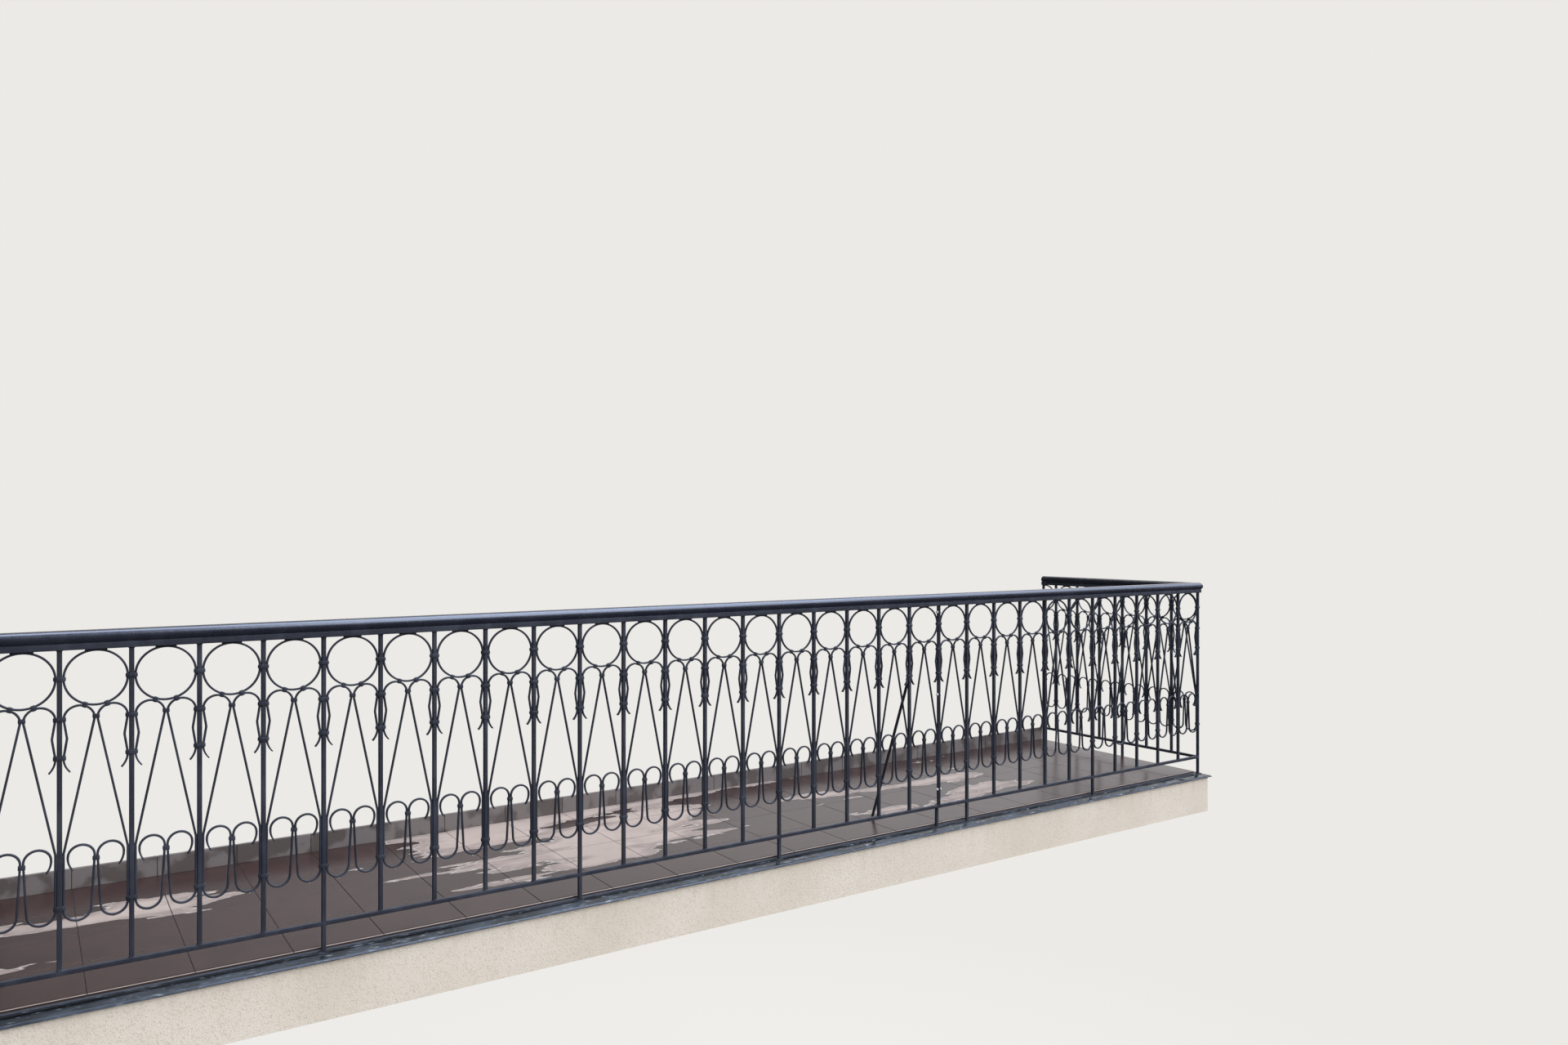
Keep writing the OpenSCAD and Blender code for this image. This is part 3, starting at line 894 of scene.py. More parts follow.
class Workshop:
    """Puts pieces into the scene and joins them to the frame."""

    def __init__(self, palette: Palette, nodes: dict[str, Thing]) -> None:
        """Builds the two trees and takes the CAD box, which nothing stands out of.

        Args:
            palette: The materials.
            nodes: CAD nodes by name.
        """
        self.palette = palette
        self.nodes = nodes
        self.room = [Vector(corner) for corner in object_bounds()]
        self.row_tree = row_of_pieces_tree()
        self.drops_tree = scattered_drops_tree()
        self.count = 0

    def dress(
        self, name: str, mesh: Mesh, material: Material, slot: Slot = Slot.IRON, nodes: Sequence[str] = ()
    ) -> None:
        """Adds a finished piece to the scene.

        Args:
            name: Name of the piece.
            mesh: Its mesh, in place.
            material: Its material.
            slot: The record's material slot; it is not used.
            nodes: CAD nodes that it stands for.
        """
        low, high = self.room
        for vert in mesh.vertices:
            vert.co = [min(max(c, a), b) for c, a, b in zip(vert.co, low, high)]
        piece = in_scene(name, mesh)
        mesh.name = name
        mesh.materials.clear()
        mesh.materials.append(material)
        even = piece.modifiers.new("even_shading", "WEIGHTED_NORMAL")
        even.keep_sharp = True
        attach(piece, BODY)
        if nodes:
            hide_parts(*nodes)
        self.count += 1
        LOG.info("%s: %d faces", name, len(mesh.polygons))

    def grown(self, mesh: Mesh, tree: Tree, inputs: dict[str, Any]) -> Mesh:
        """Runs a Geometry Nodes tree on a mesh.

        Args:
            mesh: Mesh that the tree starts from.
            tree: The tree.
            inputs: The tree's inputs by name.

        Returns:
            The plain mesh that comes out.
        """
        holder = in_scene("holder", mesh)
        modifier = holder.modifiers.new("grow", "NODES")
        modifier.node_group = tree
        for item in tree.interface.items_tree:
            if item.item_type == "SOCKET" and item.in_out == "INPUT" and item.name in inputs:
                modifier[item.identifier] = inputs[item.name]
        graph = bpy.context.evaluated_depsgraph_get()
        result = bpy.data.meshes.new_from_object(holder.evaluated_get(graph))
        holder.modifiers.remove(modifier)
        bpy.data.objects.remove(holder)
        return result

    def row(
        self, piece: Mesh, spots: Places, material: Material, turn: Vector = Vector(),
        play: float = 0.0, stretch: Places | None = None, seed: int = 1,
    ) -> Mesh:
        """Repeats a piece at spots by Geometry Nodes.

        Args:
            piece: Mesh of the piece, about its own middle.
            spots: Where the pieces go.
            material: Their material.
            turn: How each piece is turned, in radians about x, y and z.
            play: Most that a piece is turned at random, in radians.
            stretch: Size of each piece, or none for its own size.
            seed: Seed of the random turns.

        Returns:
            One mesh of all pieces.
        """
        marks = bpy.data.meshes.new("marks")
        marks.from_pydata([tuple(s) for s in spots], [], [])
        sizes = marks.attributes.new("stretch", "FLOAT_VECTOR", "POINT")
        for mark, size in zip(sizes.data, stretch or [Vector((1, 1, 1))] * len(spots)):
            mark.vector = size
        model = in_scene("model", piece)
        inputs = {"Piece": model, "Turn": turn, "Play": play, "Seed": seed, "Material": material}
        result = self.grown(marks, self.row_tree, inputs)
        bpy.data.objects.remove(model)
        return result

    def drops(self, on: str, ground: Mesh, rain: Rain) -> None:
        """Scatters drops of rain over a surface by Geometry Nodes.

        Args:
            on: What they lie on.
            ground: Its mesh.
            rain: The rain.
        """
        water = self.palette.water
        inputs = {"Density": rain.per_metre, "Radius": rain.radius, "Upward": rain.upward}
        inputs |= {"Seed": rain.seed, "Material": water}
        self.dress("rain_on_" + on, self.grown(ground.copy(), self.drops_tree, inputs), water)


class Hand(Enum):
    """Which end of the balcony, seen from outside."""

    LEFT = -1
    RIGHT = 1

    @property
    def word(self) -> str:
        """The hand as the CAD nodes name it."""
        return self.name.lower()


@dataclass(frozen=True)
class Stop:
    """A place on a run in plan, and the direction of the profile's inward coordinate there."""

    at: Vector
    inward: Vector


def run(profile: Points, start: Stop, end: Stop, step: float = 0.12) -> Mesh:
    """Runs a profile straight from one stop to another, each end cut as its stop says.

    Args:
        profile: Points as inward and upward distances.
        start: First stop.
        end: Last stop.
        step: Rough length of each stretch.

    Returns:
        The mesh.
    """
    first = [start.at + start.inward * u + UP * v for u, v in profile]
    last = [end.at + end.inward * u + UP * v for u, v in profile]
    count = max(1, round((end.at - start.at).length / step))
    return skinned([a.lerp(b, k / count) for a, b in zip(first, last)] for k in range(count + 1))


@dataclass(frozen=True)
class Plan:
    """Where the railing stands, read from the frame. Bars count from the right corner."""

    corner_x: float  # Distance from the middle to the axis of each side railing
    rail_y: float  # Axis of the front railing
    edge_z: float  # Top of the slab edge, at the foot of the railing
    bar: float
    side_pitch: float  # Spacing of the bars along each side
    wall_post_y: float  # Axis of the posts at the wall
    bottom_z: float  # Underside of the bottom rail
    bottom_top_z: float
    subrail_z: float  # Underside of the flat bar below the handrail
    tube_z: float
    tube_r: float
    wall_gap: float  # Gap between the railing and the wall
    floor_in: float  # Distance from the railing's axis to the edge of the tiles
    floor_edge_z: float  # Top of the tiles at that edge
    floor_wall_z: float  # Top of the tiles at the wall
    front_count: int = 31
    side_count: int = 6  # Number of whole bays along each side
    splice_bar: int = 11  # Bar of the front at which the two welded lengths meet
    front_posts: tuple[int, ...] = (5, 10, 16, 21, 26)  # Bars of the front that run down to the slab edge
    side_post: int = 3  # The like bar of each side

    @classmethod
    def from_frame(cls) -> Plan:
        """Reads the plan from the CAD nodes' boxes.

        Returns:
            The plan.
        """
        post_low, post_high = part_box("corner_post_right")
        rail_low, rail_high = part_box("bottom_rail_front_right")
        tube_low, tube_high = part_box("handrail_front_right")
        side_low, side_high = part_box("bars_right")
        last_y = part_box("side_posts_right")[1][1]
        floor_low, floor_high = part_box("tiled_floor")
        skirting_low, skirting_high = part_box("skirting")
        bar = post_high[0] - post_low[0]
        rail_y = (post_low[1] + post_high[1]) / 2
        fall = (floor_high[2] - skirting_low[2]) / (skirting_high[1] - skirting_low[1])
        return cls(
            corner_x=(post_low[0] + post_high[0]) / 2,
            rail_y=rail_y,
            edge_z=post_low[2],
            bar=bar,
            side_pitch=(side_high[1] - side_low[1] - bar) / (cls.side_count - 1),
            wall_post_y=last_y - bar / 2,
            bottom_z=rail_low[2],
            bottom_top_z=rail_high[2],
            subrail_z=post_high[2],
            tube_z=(tube_low[2] + tube_high[2]) / 2,
            tube_r=(tube_high[2] - tube_low[2]) / 2,
            wall_gap=-last_y,
            floor_in=floor_low[1] - rail_y,
            floor_edge_z=floor_high[2] - fall * (floor_high[1] - floor_low[1]),
            floor_wall_z=floor_high[2],
        )

    @property
    def front_pitch(self) -> float:
        """Spacing of the bars along the front."""
        return 2 * self.corner_x / self.front_count

    def front_axis(self, bar: float, z: float = 0.0) -> Vector:
        """Gives the axis of a front bar at a height."""
        return Vector((self.corner_x - bar * self.front_pitch, self.rail_y, z))

    def side_axis(self, hand: Hand, bar: float, z: float = 0.0) -> Vector:
        """Gives the axis of a side bar at a height, counted from the corner."""
        return Vector((hand.value * self.corner_x, self.rail_y + bar * self.side_pitch, z))

    def front_bars(self, hand: Hand) -> range:
        """Lists the front bars of a welded length, of which the right one has the splice."""
        right = hand is Hand.RIGHT
        return range(1, self.splice_bar + 1) if right else range(self.splice_bar + 1, self.front_count)

    def front_bays(self, hand: Hand) -> list[Vector]:
        """Lists the middles of a welded length's bays, at the slab edge."""
        bays = range(self.splice_bar) if hand is Hand.RIGHT else range(self.splice_bar, self.front_count)
        return [self.front_axis(i + 0.5, self.edge_z) for i in bays]

    def side_bays(self, hand: Hand) -> list[Vector]:
        """Lists the middles of a side's whole bays, at the slab edge."""
        return [self.side_axis(hand, j + 0.5, self.edge_z) for j in range(self.side_count)]

    def short_bay(self, hand: Hand) -> Vector:
        """Gives the middle of the short bay at the wall, at the slab edge."""
        return self.side_axis(hand, self.side_count + 0.5, self.edge_z)

    @property
    def short_reach(self) -> float:
        """Distance from the short bay's middle to the wall post."""
        return self.wall_post_y - self.bar / 2 - self.short_bay(Hand.RIGHT).y

    @property
    def floor_y(self) -> float:
        """Front edge of the tiles."""
        return self.rail_y + self.floor_in

    @property
    def floor_slope(self) -> float:
        """Rise of the floor towards the wall."""
        return (self.floor_wall_z - self.floor_edge_z) / -self.floor_y

    def on_front(self, x: float) -> Stop:
        """Gives a stop on the front railing's axis."""
        return Stop(Vector((x, self.rail_y, 0)), INWARD)

    def on_side(self, hand: Hand, y: float) -> Stop:
        """Gives a stop on a side railing's axis."""
        return Stop(Vector((hand.value * self.corner_x, y, 0)), Vector((-hand.value, 0, 0)))

    def at_corner(self, hand: Hand) -> Stop:
        """Gives the mitred stop at a corner."""
        return Stop(self.side_axis(hand, 0), Vector((-hand.value, 1, 0)))


@dataclass
class Part:
    """What every sub-assembly starts from."""

    shop: Workshop
    plan: Plan

    def iron(self, name: str, mesh: Mesh, *nodes: str) -> None:
        """Dresses a mesh in the railing's enamel, to stand for CAD nodes."""
        self.shop.dress(name, mesh, self.shop.palette.iron, Slot.IRON, nodes)

    def forging(self, node: str, mesh: Mesh) -> None:
        """Dresses a mesh that stands for one CAD node and bears its name."""
        self.iron(node + "_forged", mesh, node)

    def irons(self, model: Mesh, spots: Places, **options: Any) -> Mesh:
        """Repeats an iron piece at spots, with the options of Workshop.row."""
        return self.shop.row(model, spots, self.shop.palette.iron, **options)


# Slab and floor


@dataclass
class Slab(Part):
    """The concrete slab with its render coat, which keep their CAD shapes."""

    def build(self) -> None:
        """Dresses the two nodes."""
        palette = self.shop.palette
        for node, material in (("slab", palette.concrete), ("render_coat", palette.render)):
            for slot in self.shop.nodes[node].material_slots:
                slot.material = material
            LOG.info("%s: dressed", node)


@dataclass
class Floor(Part):
    """The tiled floor, its joints, and the skirting along the wall."""

    module: float = 295 * MM  # Width of a tile with its joint
    joint: float = 3 * MM
    tile_t: float = 9 * MM
    bevel: float = 0.35 * MM  # How far a tile's edges are softened
    # Points of the nosing's round edge, outwards and up from its start
    nose: Points = ((0, 0), (1.5 * MM, -0.4 * MM), (2.6 * MM, -1.5 * MM), (3 * MM, -3 * MM))
    groove_in: float = 11 * MM  # Distance from the tiles' front edge to the groove of the nosing
    groove: float = 2.5 * MM  # Width and depth of that groove
    tilt: float = 0.0006  # Most that a tile is tilted at random, in radians
    sunk: float = 2 * MM  # How far joints lie below the tiles, and their bed behind the wall face
    bed_in: float = 2.5 * MM  # How far the bed stays inside the tiles' edges
    screed_in: float = 15 * MM  # How far the screed that shows at the wall face reaches in
    pours: int = 8  # Number of stretches of that screed
    skirting_bevel: float = 1.5 * MM  # How far the top edge of the skirting is softened

    def spans(self, low: float, high: float, origin: float) -> list[Point2]:
        """Cuts a stretch into tiles on the joint grid.

        Args:
            low: Start of the stretch.
            high: End of the stretch.
            origin: A place where a joint falls.

        Returns:
            Start and end of each tile, with half a joint off inside the stretch.
        """
        first = math.floor((low - origin) / self.module)
        last = math.ceil((high - origin) / self.module)
        edges = [origin + k * self.module for k in range(first, last + 1)]
        spans = []
        for near, far in zip(edges, edges[1:]):
            near = low if near < low else near + self.joint / 2
            far = high if far > high else far - self.joint / 2
            if far - near > self.joint:
                spans.append((near, far))
        return spans

    def tile(self, nosing: bool) -> Mesh:
        """Makes a tile of one unit along x and y, whose top is at z = 0.

        Args:
            nosing: True for the front row, which has a groove and a rounded nose.

        Returns:
            The mesh.
        """
        t, soft, unit = self.tile_t, self.bevel, self.module
        outline: list[Point2] = [(0.5, -t), (0.5, -soft), (0.5 - soft / unit, 0)]
        if nosing:
            near, deep, reach = -0.5 + self.groove_in / unit, -self.groove, self.nose[-1][0]
            far = near + self.groove / unit
            outline += [(far, 0), (far, deep), (near, deep), (near, 0)]
            outline += [(-0.5 + (reach - out) / unit, z) for out, z in self.nose]
        else:
            outline += [(-0.5 + soft / unit, 0), (-0.5, -soft)]
        outline += [(-0.5, -t)]
        side = 0.5 - soft / unit
        return skinned(
            [Vector((x, y, min(z, -soft) if abs(x) == 0.5 else z)) for y, z in outline]
            for x in (-0.5, -side, side, 0.5)
        )

    def tiles(self, nosing: bool, rows: Points, columns: Points) -> Mesh:
        """Lays the tiles of some rows.

        Args:
            nosing: True for tiles with a nosing.
            rows: Start and end of each row along y.
            columns: Start and end of each tile along x.

        Returns:
            One mesh of all tiles.
        """
        plan, spots, sizes = self.plan, [], []
        for y0, y1 in rows:
            z = plan.floor_edge_z + ((y0 + y1) / 2 - plan.floor_y) * plan.floor_slope
            spots += [Vector(((x0 + x1) / 2, (y0 + y1) / 2, z)) for x0, x1 in columns]
            sizes += [Vector((x1 - x0, y1 - y0, 1)) for x0, x1 in columns]
        lean = Vector((math.atan(plan.floor_slope), 0, 0))
        tile = self.shop.palette.tile
        return self.shop.row(self.tile(nosing), spots, tile, lean, self.tilt, sizes, seed=7)

    def build(self) -> None:
        """Builds the tiles, the bed that shows in the joints, the screed and the skirting."""
        plan, palette, dress = self.plan, self.shop.palette, self.shop.dress
        half = plan.corner_x - plan.floor_in
        columns = self.spans(-half, half, 0.0)
        rows = self.spans(plan.floor_y, 0.0, plan.floor_y)
        tiles = welded([self.tiles(True, rows[:1], columns), self.tiles(False, rows[1:], columns)])
        dress("floor_tiles", tiles, palette.tile, Slot.TILE, ["tiled_floor"])

        sunk, front, end, foot = self.sunk, plan.floor_y + self.bed_in, half - self.bed_in, plan.edge_z
        bed = [(front, foot - self.bed_in), (front, plan.floor_edge_z - sunk)]
        bed += [(-sunk, plan.floor_wall_z - sunk), (-sunk, foot - self.bed_in)]
        dress("floor_bed", prism(bed, (-end, end)), palette.joint, Slot.TILE)

        top, foot = plan.floor_wall_z - self.tile_t - 0.3 * MM, foot + 0.3 * MM
        screed = [(-self.screed_in, foot), (-self.screed_in, top - 1 * MM), (-0.8 * MM, top)]
        screed += [(0.0, top - 0.8 * MM), (0.0, foot)]
        ends = [-end + k * 2 * end / self.pours for k in range(self.pours + 1)]
        dress("screed_at_wall", prism(screed, ends), palette.concrete, Slot.TILE)
        self.skirting(columns)

    def skirting(self, columns: Points) -> None:
        """Builds the skirting tiles along the wall.

        Args:
            columns: Start and end of each tile along x.
        """
        low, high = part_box("skirting")
        palette, foot = self.shop.palette, self.plan.floor_wall_z
        t, tall, soft, sunk = high[1] - low[1], high[2] - foot, self.skirting_bevel, self.sunk
        outline = [(0, 0), (0, tall), (-t + soft, tall - soft), (-t, tall - 2 * soft), (-t, 0)]
        spots = [Vector(((x0 + x1) / 2, 0, foot)) for x0, x1 in columns]
        sizes = [Vector((x1 - x0, 1, 1)) for x0, x1 in columns]
        tiles = self.shop.row(prism(outline, (-0.5, 0.5)), spots, palette.skirting, stretch=sizes)
        self.shop.dress("skirting_tiles", tiles, palette.skirting, Slot.SKIRTING, ["skirting"])
        bed = [(-sunk, foot - sunk), (-sunk, foot + tall - sunk)]
        bed += [(-t + sunk, foot + tall - 2 * sunk), (-t + sunk, foot - sunk)]
        mesh = prism(bed, (columns[0][0] + sunk, columns[-1][1] - sunk))
        self.shop.dress("skirting_bed", mesh, palette.joint, Slot.SKIRTING)


@dataclass
class Flashing(Part):
    """The sheet flashing round the slab edge, with sealant along the tiles."""

    sheet_t: float = 1.2 * MM  # Thickness of the sheet as it shows
    fold_out: float = 14 * MM  # Distance from the railing's axis to the fold
    fold_rise: float = 3 * MM
    # Outward distance and height of the edge where the sheet turns down
    nose: Point2 = (51 * MM, -9.5 * MM)
    lip: Point2 = (55 * MM, -15.5 * MM)  # Outward distance and height of the drip edge
    hem_r: float = 1.9 * MM
    rain: Rain = Rain(350, 1.9 * MM, seed=21, upward=0.6)

    def profile(self) -> list[Point2]:
        """Draws the outline of the sheet.

        Returns:
            Points as inward and upward distances, counter-clockwise.
        """
        t, edge, fold, rise = self.sheet_t, self.plan.edge_z, -self.fold_out, self.fold_rise
        out, down = -self.nose[0], self.nose[1]
        top = [(self.plan.floor_in + 1 * MM, 0.0), (fold + 6 * MM, 0.0), (fold + 2 * MM, rise)]
        top += [(fold - 1 * MM, rise), (fold - 1.8 * MM, -2.4 * MM), (out + 4 * MM, down + 1.4 * MM)]
        top += [(out, down), (out - 1 * MM, down - 1.5 * MM)]
        hem = arc((-self.lip[0], self.lip[1]), self.hem_r, 60, 330, 6)
        under = [(u + t, v - t) for u, v in reversed(top[:-1])]
        return [(u, v + edge) for u, v in top + hem + under]

    def build(self) -> None:
        """Builds the three lengths of sheet, the rain on them and the sealant."""
        plan, palette = self.plan, self.shop.palette
        left, right = plan.at_corner(Hand.LEFT), plan.at_corner(Hand.RIGHT)
        lengths = {
            "flashing_front": (left, right),
            "flashing_left": (left, plan.on_side(Hand.LEFT, 0)),
            "flashing_right": (right, plan.on_side(Hand.RIGHT, 0)),
        }
        for node, stops in lengths.items():
            mesh = run(self.profile(), *stops)
            self.shop.drops(node, mesh, self.rain)
            self.shop.dress(node + "_sheet", mesh, palette.sheet, Slot.SHEET, [node])
        edge, foot = plan.floor_in, plan.edge_z
        bead = [(edge + 1 * MM, foot - 0.5 * MM), (edge + 1 * MM, foot + 4 * MM)]
        bead += [(edge - 2 * MM, foot + 2.2 * MM), (edge - 6 * MM, foot - 0.5 * MM)]
        beads = welded(run(bead, *stops, step=0.06) for stops in lengths.values())
        self.shop.dress("edge_sealant", beads, palette.mastic_and_shade, Slot.SHEET)


# Railing


@dataclass
class Rails(Part):
    """Handrail tube, the flat bar under it and the bottom rail."""

    proud: float = 0.6 * MM  # Room that is kept inside the CAD tube for drops of rain
    tube_points: int = 40
    plug_r: float = 8 * MM  # Radius of the rounded rim of the plugs that close the tube at the wall
    plug_in: float = 5 * MM  # Distance from that rim to the plug's weld
    # Points of that weld, along and out of the tube
    plug_weld: Points = ((-0.4 * MM, 0.25 * MM), (0, 0.4 * MM), (0.4 * MM, 0.25 * MM))
    flat_w: float = 30 * MM
    flat_t: float = 20 * MM
    # How far the corners of the flat bar and the bottom rail are worn off
    round_off: Point2 = (1.2 * MM, 1.3 * MM)
    bead_r: float = 2.2 * MM
    bead_out: float = 0.4 * MM  # How far a weld bead stands out of the tube
    seam: float = 0.2 * MM  # Half the gap between the two welded lengths
    rain: Rain = Rain(2200, 1.1 * MM, seed=11, upward=0.1)

    def build(self) -> None:
        """Builds the rails, the drops on the handrail and its welds."""
        plan, radius = self.plan, self.plan.tube_r - self.proud
        tube = [(u, v + plan.tube_z) for u, v in round_outline(radius, self.tube_points)]
        flat = bar_outline(self.flat_w, self.flat_t, self.round_off[0])
        flat = [(u, v + plan.subrail_z + self.flat_t / 2) for u, v in flat]
        splice_x = plan.front_axis(plan.splice_bar).x
        left, right = plan.at_corner(Hand.LEFT), plan.at_corner(Hand.RIGHT)
        lengths = {
            "front_left": (left, plan.on_front(splice_x - self.seam)),
            "front_right": (plan.on_front(splice_x + self.seam), right),
            "left": (left, plan.on_side(Hand.LEFT, -plan.wall_gap)),
            "right": (right, plan.on_side(Hand.RIGHT, -plan.wall_gap)),
        }
        wet = self.shop.palette.rail_iron
        for name, stops in lengths.items():
            mesh = run(tube, *stops)
            if not name.startswith("front"):
                mesh = self.plugged(mesh, stops[1].at.x, radius)
            self.shop.dress("handrail_tube_" + name, mesh, wet, nodes=["handrail_" + name])
            self.shop.drops("handrail_" + name, mesh, self.rain)
            self.iron("subrail_flat_" + name, run(flat, *stops), "subrail_" + name)
        self.bottom_rails()
        self.tube_welds(radius, [left, right, plan.on_front(splice_x)])

    def plugged(self, tube: Mesh, x: float, radius: float) -> Mesh:
        """Rounds the rim of a side tube where its plug closes it at the wall.

        Args:
            tube: The tube.
            x: Its axis.
            radius: Its radius.

        Returns:
            The tube with its plug.
        """
        plan, rim = self.plan, self.plug_r
        groove = -plan.wall_gap - rim - self.plug_in
        rounds = [(groove + at, radius + out) for at, out in self.plug_weld]
        rounds += [(y - plan.wall_gap - rim, r) for r, y in arc((radius - rim, 0), rim, 0, 90, 6)]
        stations = [
            Station(Vector((x, y, plan.tube_z)), round_outline(r, self.tube_points)) for y, r in rounds
        ]
        cut = bent(tube, lambda p: (p.x, min(p.y, groove), p.z))
        return welded([cut, forged(stations, UP)])

    def bottom_rails(self) -> None:
        """Builds the bottom rail in lengths between the posts."""
        plan, half = self.plan, self.plan.bar / 2
        outline = bar_outline(plan.bar, plan.bottom_top_z - plan.bottom_z, self.round_off[1])
        outline = [(u, v + (plan.bottom_z + plan.bottom_top_z) / 2) for u, v in outline]
        stops = sorted({0, plan.splice_bar, plan.front_count, *plan.front_posts})
        lengths: dict[str, list[tuple[Stop, Stop]]] = {}
        for hand in (Hand.RIGHT, Hand.LEFT):
            own = [plan.front_axis(s).x for s in stops if (s - plan.splice_bar) * hand.value <= 0]
            lengths["front_" + hand.word] = [
                (plan.on_front(far + half), plan.on_front(near - half)) for near, far in zip(own, own[1:])
            ]
        for hand in Hand:
            post = plan.side_axis(hand, plan.side_post).y
            spans = ((plan.rail_y + half, post - half), (post + half, plan.wall_post_y - half))
            lengths[hand.word] = [(plan.on_side(hand, a), plan.on_side(hand, b)) for a, b in spans]
        for name, pairs in lengths.items():
            rails = welded(run(outline, *pair) for pair in pairs)
            self.iron("bottom_rail_bar_" + name, rails, "bottom_rail_" + name)

    def tube_welds(self, radius: float, stops: Sequence[Stop]) -> None:
        """Builds the weld beads round the tube.

        Args:
            radius: Radius of the tube.
            stops: Where they go.
        """
        beads, rng = [], random.Random(3)
        for stop in stops:
            path = []
            for u, v in round_outline(radius - self.bead_r + self.bead_out, 36):
                outline = round_outline(self.bead_r * rng.uniform(0.85, 1.1), 6)
                path.append(Station(stop.at + stop.inward * u + UP * (v + self.plan.tube_z), outline))
            beads.append(forged(path, stop.inward.cross(UP).normalized(), closed=True))
        self.shop.dress("handrail_welds", welded(beads), self.shop.palette.rail_iron)


@dataclass
class Uprights(Part):
    """Square bars and posts, with the weld fillets at their ends."""

    round_off: float = 1.3 * MM  # How far the corners of a bar are worn off
    uneven: float = 0.35 * MM  # Most that a bar's side falls short
    step: float = 60 * MM  # Rough distance between a bar's cross-sections
    weld_r: float = 2 * MM
    post_weld_r: float = 1.2 * MM
    weld_out: float = 0.4 * MM  # How much wider than the bar a weld's axis runs
    weld_corner: float = 2.5 * MM  # How far the corners of that axis are cut off
    head_weld: float = 1 * MM  # How far the welds at the heads lie below the flat bar
    foot_weld: float = 0.5 * MM  # How far those at the feet lie above the bottom rail
    post_weld: float = 8 * MM  # Height of a post's weld in the bottom rail
    # Height and half width of each layer of the sealant round a post's foot
    mound: Points = (
        (-1 * MM, 19 * MM), (0.8 * MM, 17.5 * MM), (2.2 * MM, 13 * MM), (3.6 * MM, 9 * MM)
    )
    wall_clear: float = 0.5 * MM  # Gap between that sealant and the wall

    def upright(self, low: float, high: float) -> Mesh:
        """Makes one square bar, drawn a little uneven by hand.

        Args:
            low: Height of its foot.
            high: Height of its head.

        Returns:
            The mesh, about x = 0 and y = 0.
        """
        rng, count = random.Random(round((high - low) / MM)), round((high - low) / self.step)
        stations = []
        for k in range(count + 1):
            side = self.plan.bar - rng.uniform(0, self.uneven)
            at = Vector((0, 0, low + (high - low) * k / count))
            stations.append(Station(at, bar_outline(side, side, self.round_off)))
        return forged(stations)

    def weld(self, radius: float) -> Mesh:
        """Makes the fillet of weld round a bar's end.

        Args:
            radius: Its radius.

        Returns:
            The mesh, about the bar's axis.
        """
        rng, width = random.Random(5), self.plan.bar + self.weld_out
        path = [
            Station(Vector((u, v, 0)), round_outline(radius * rng.uniform(0.7, 1.15), 6))
            for u, v in bar_outline(width, width, self.weld_corner)
        ]
        return forged(path, UP, closed=True)

    def build(self) -> None:
        """Builds every bar and post of the three sides, and their welds."""
        plan = self.plan
        tall = self.upright(plan.edge_z, plan.subrail_z)
        short = self.upright(plan.bottom_top_z, plan.subrail_z)
        rows: dict[str, tuple[Mesh, list[Vector]]] = {}
        for hand in Hand:
            inner = [i for i in plan.front_bars(hand) if i not in (*plan.front_posts, plan.splice_bar)]
            rows["bars_front_" + hand.word] = (short, [plan.front_axis(i) for i in inner])
        rows["front_posts"] = (tall, [plan.front_axis(i) for i in plan.front_posts])
        for hand in Hand:
            bars = [j for j in range(1, plan.side_count + 1) if j != plan.side_post]
            wall_post = Vector((hand.value * plan.corner_x, plan.wall_post_y, 0))
            rows["bars_" + hand.word] = (short, [plan.side_axis(hand, j) for j in bars])
            rows["side_posts_" + hand.word] = (tall, [plan.side_axis(hand, plan.side_post), wall_post])
            rows["corner_post_" + hand.word] = (tall, [plan.side_axis(hand, 0)])
        for number, (node, (model, spots)) in enumerate(rows.items()):
            self.forging(node, self.irons(model, spots, seed=number))
        posts = [spot for model, spots in rows.values() for spot in spots if model is tall]
        self.welds([spot for model, spots in rows.values() for spot in spots if model is short], posts)

    def welds(self, bars: Places, posts: Places) -> None:
        """Builds the welds at the ends of the uprights, and the sealant round the posts' feet.

        Args:
            bars: Axes of the bars that stand on the bottom rail.
            posts: Axes of the posts that run down to the slab edge.
        """
        plan, mastic_and_shade = self.plan, self.shop.palette.mastic_and_shade
        ends = [p + UP * (plan.subrail_z - self.head_weld) for p in (*bars, *posts)]
        ends += [p + UP * (plan.bottom_top_z + self.foot_weld) for p in bars]
        joints = [p + UP * (plan.bottom_z + self.post_weld) for p in posts]
        self.iron("bar_welds", self.irons(self.weld(self.weld_r), ends, play=0.03))
        self.iron("post_welds", self.irons(self.weld(self.post_weld_r), joints, play=0.05))
        layers = [Station(UP * z, bar_outline(2 * r, 2 * r, 0.45 * r)) for z, r in self.mound]
        feet = [p + UP * plan.edge_z for p in posts]
        # The sealant round each post's foot is near black, partly as painted shade.
        mesh = self.shop.row(forged(layers), feet, mastic_and_shade, play=0.02, seed=9)
        for vert in mesh.vertices:
            vert.co.y = min(vert.co.y, -self.wall_clear)
        self.shop.dress("post_foot_sealant", mesh, mastic_and_shade)


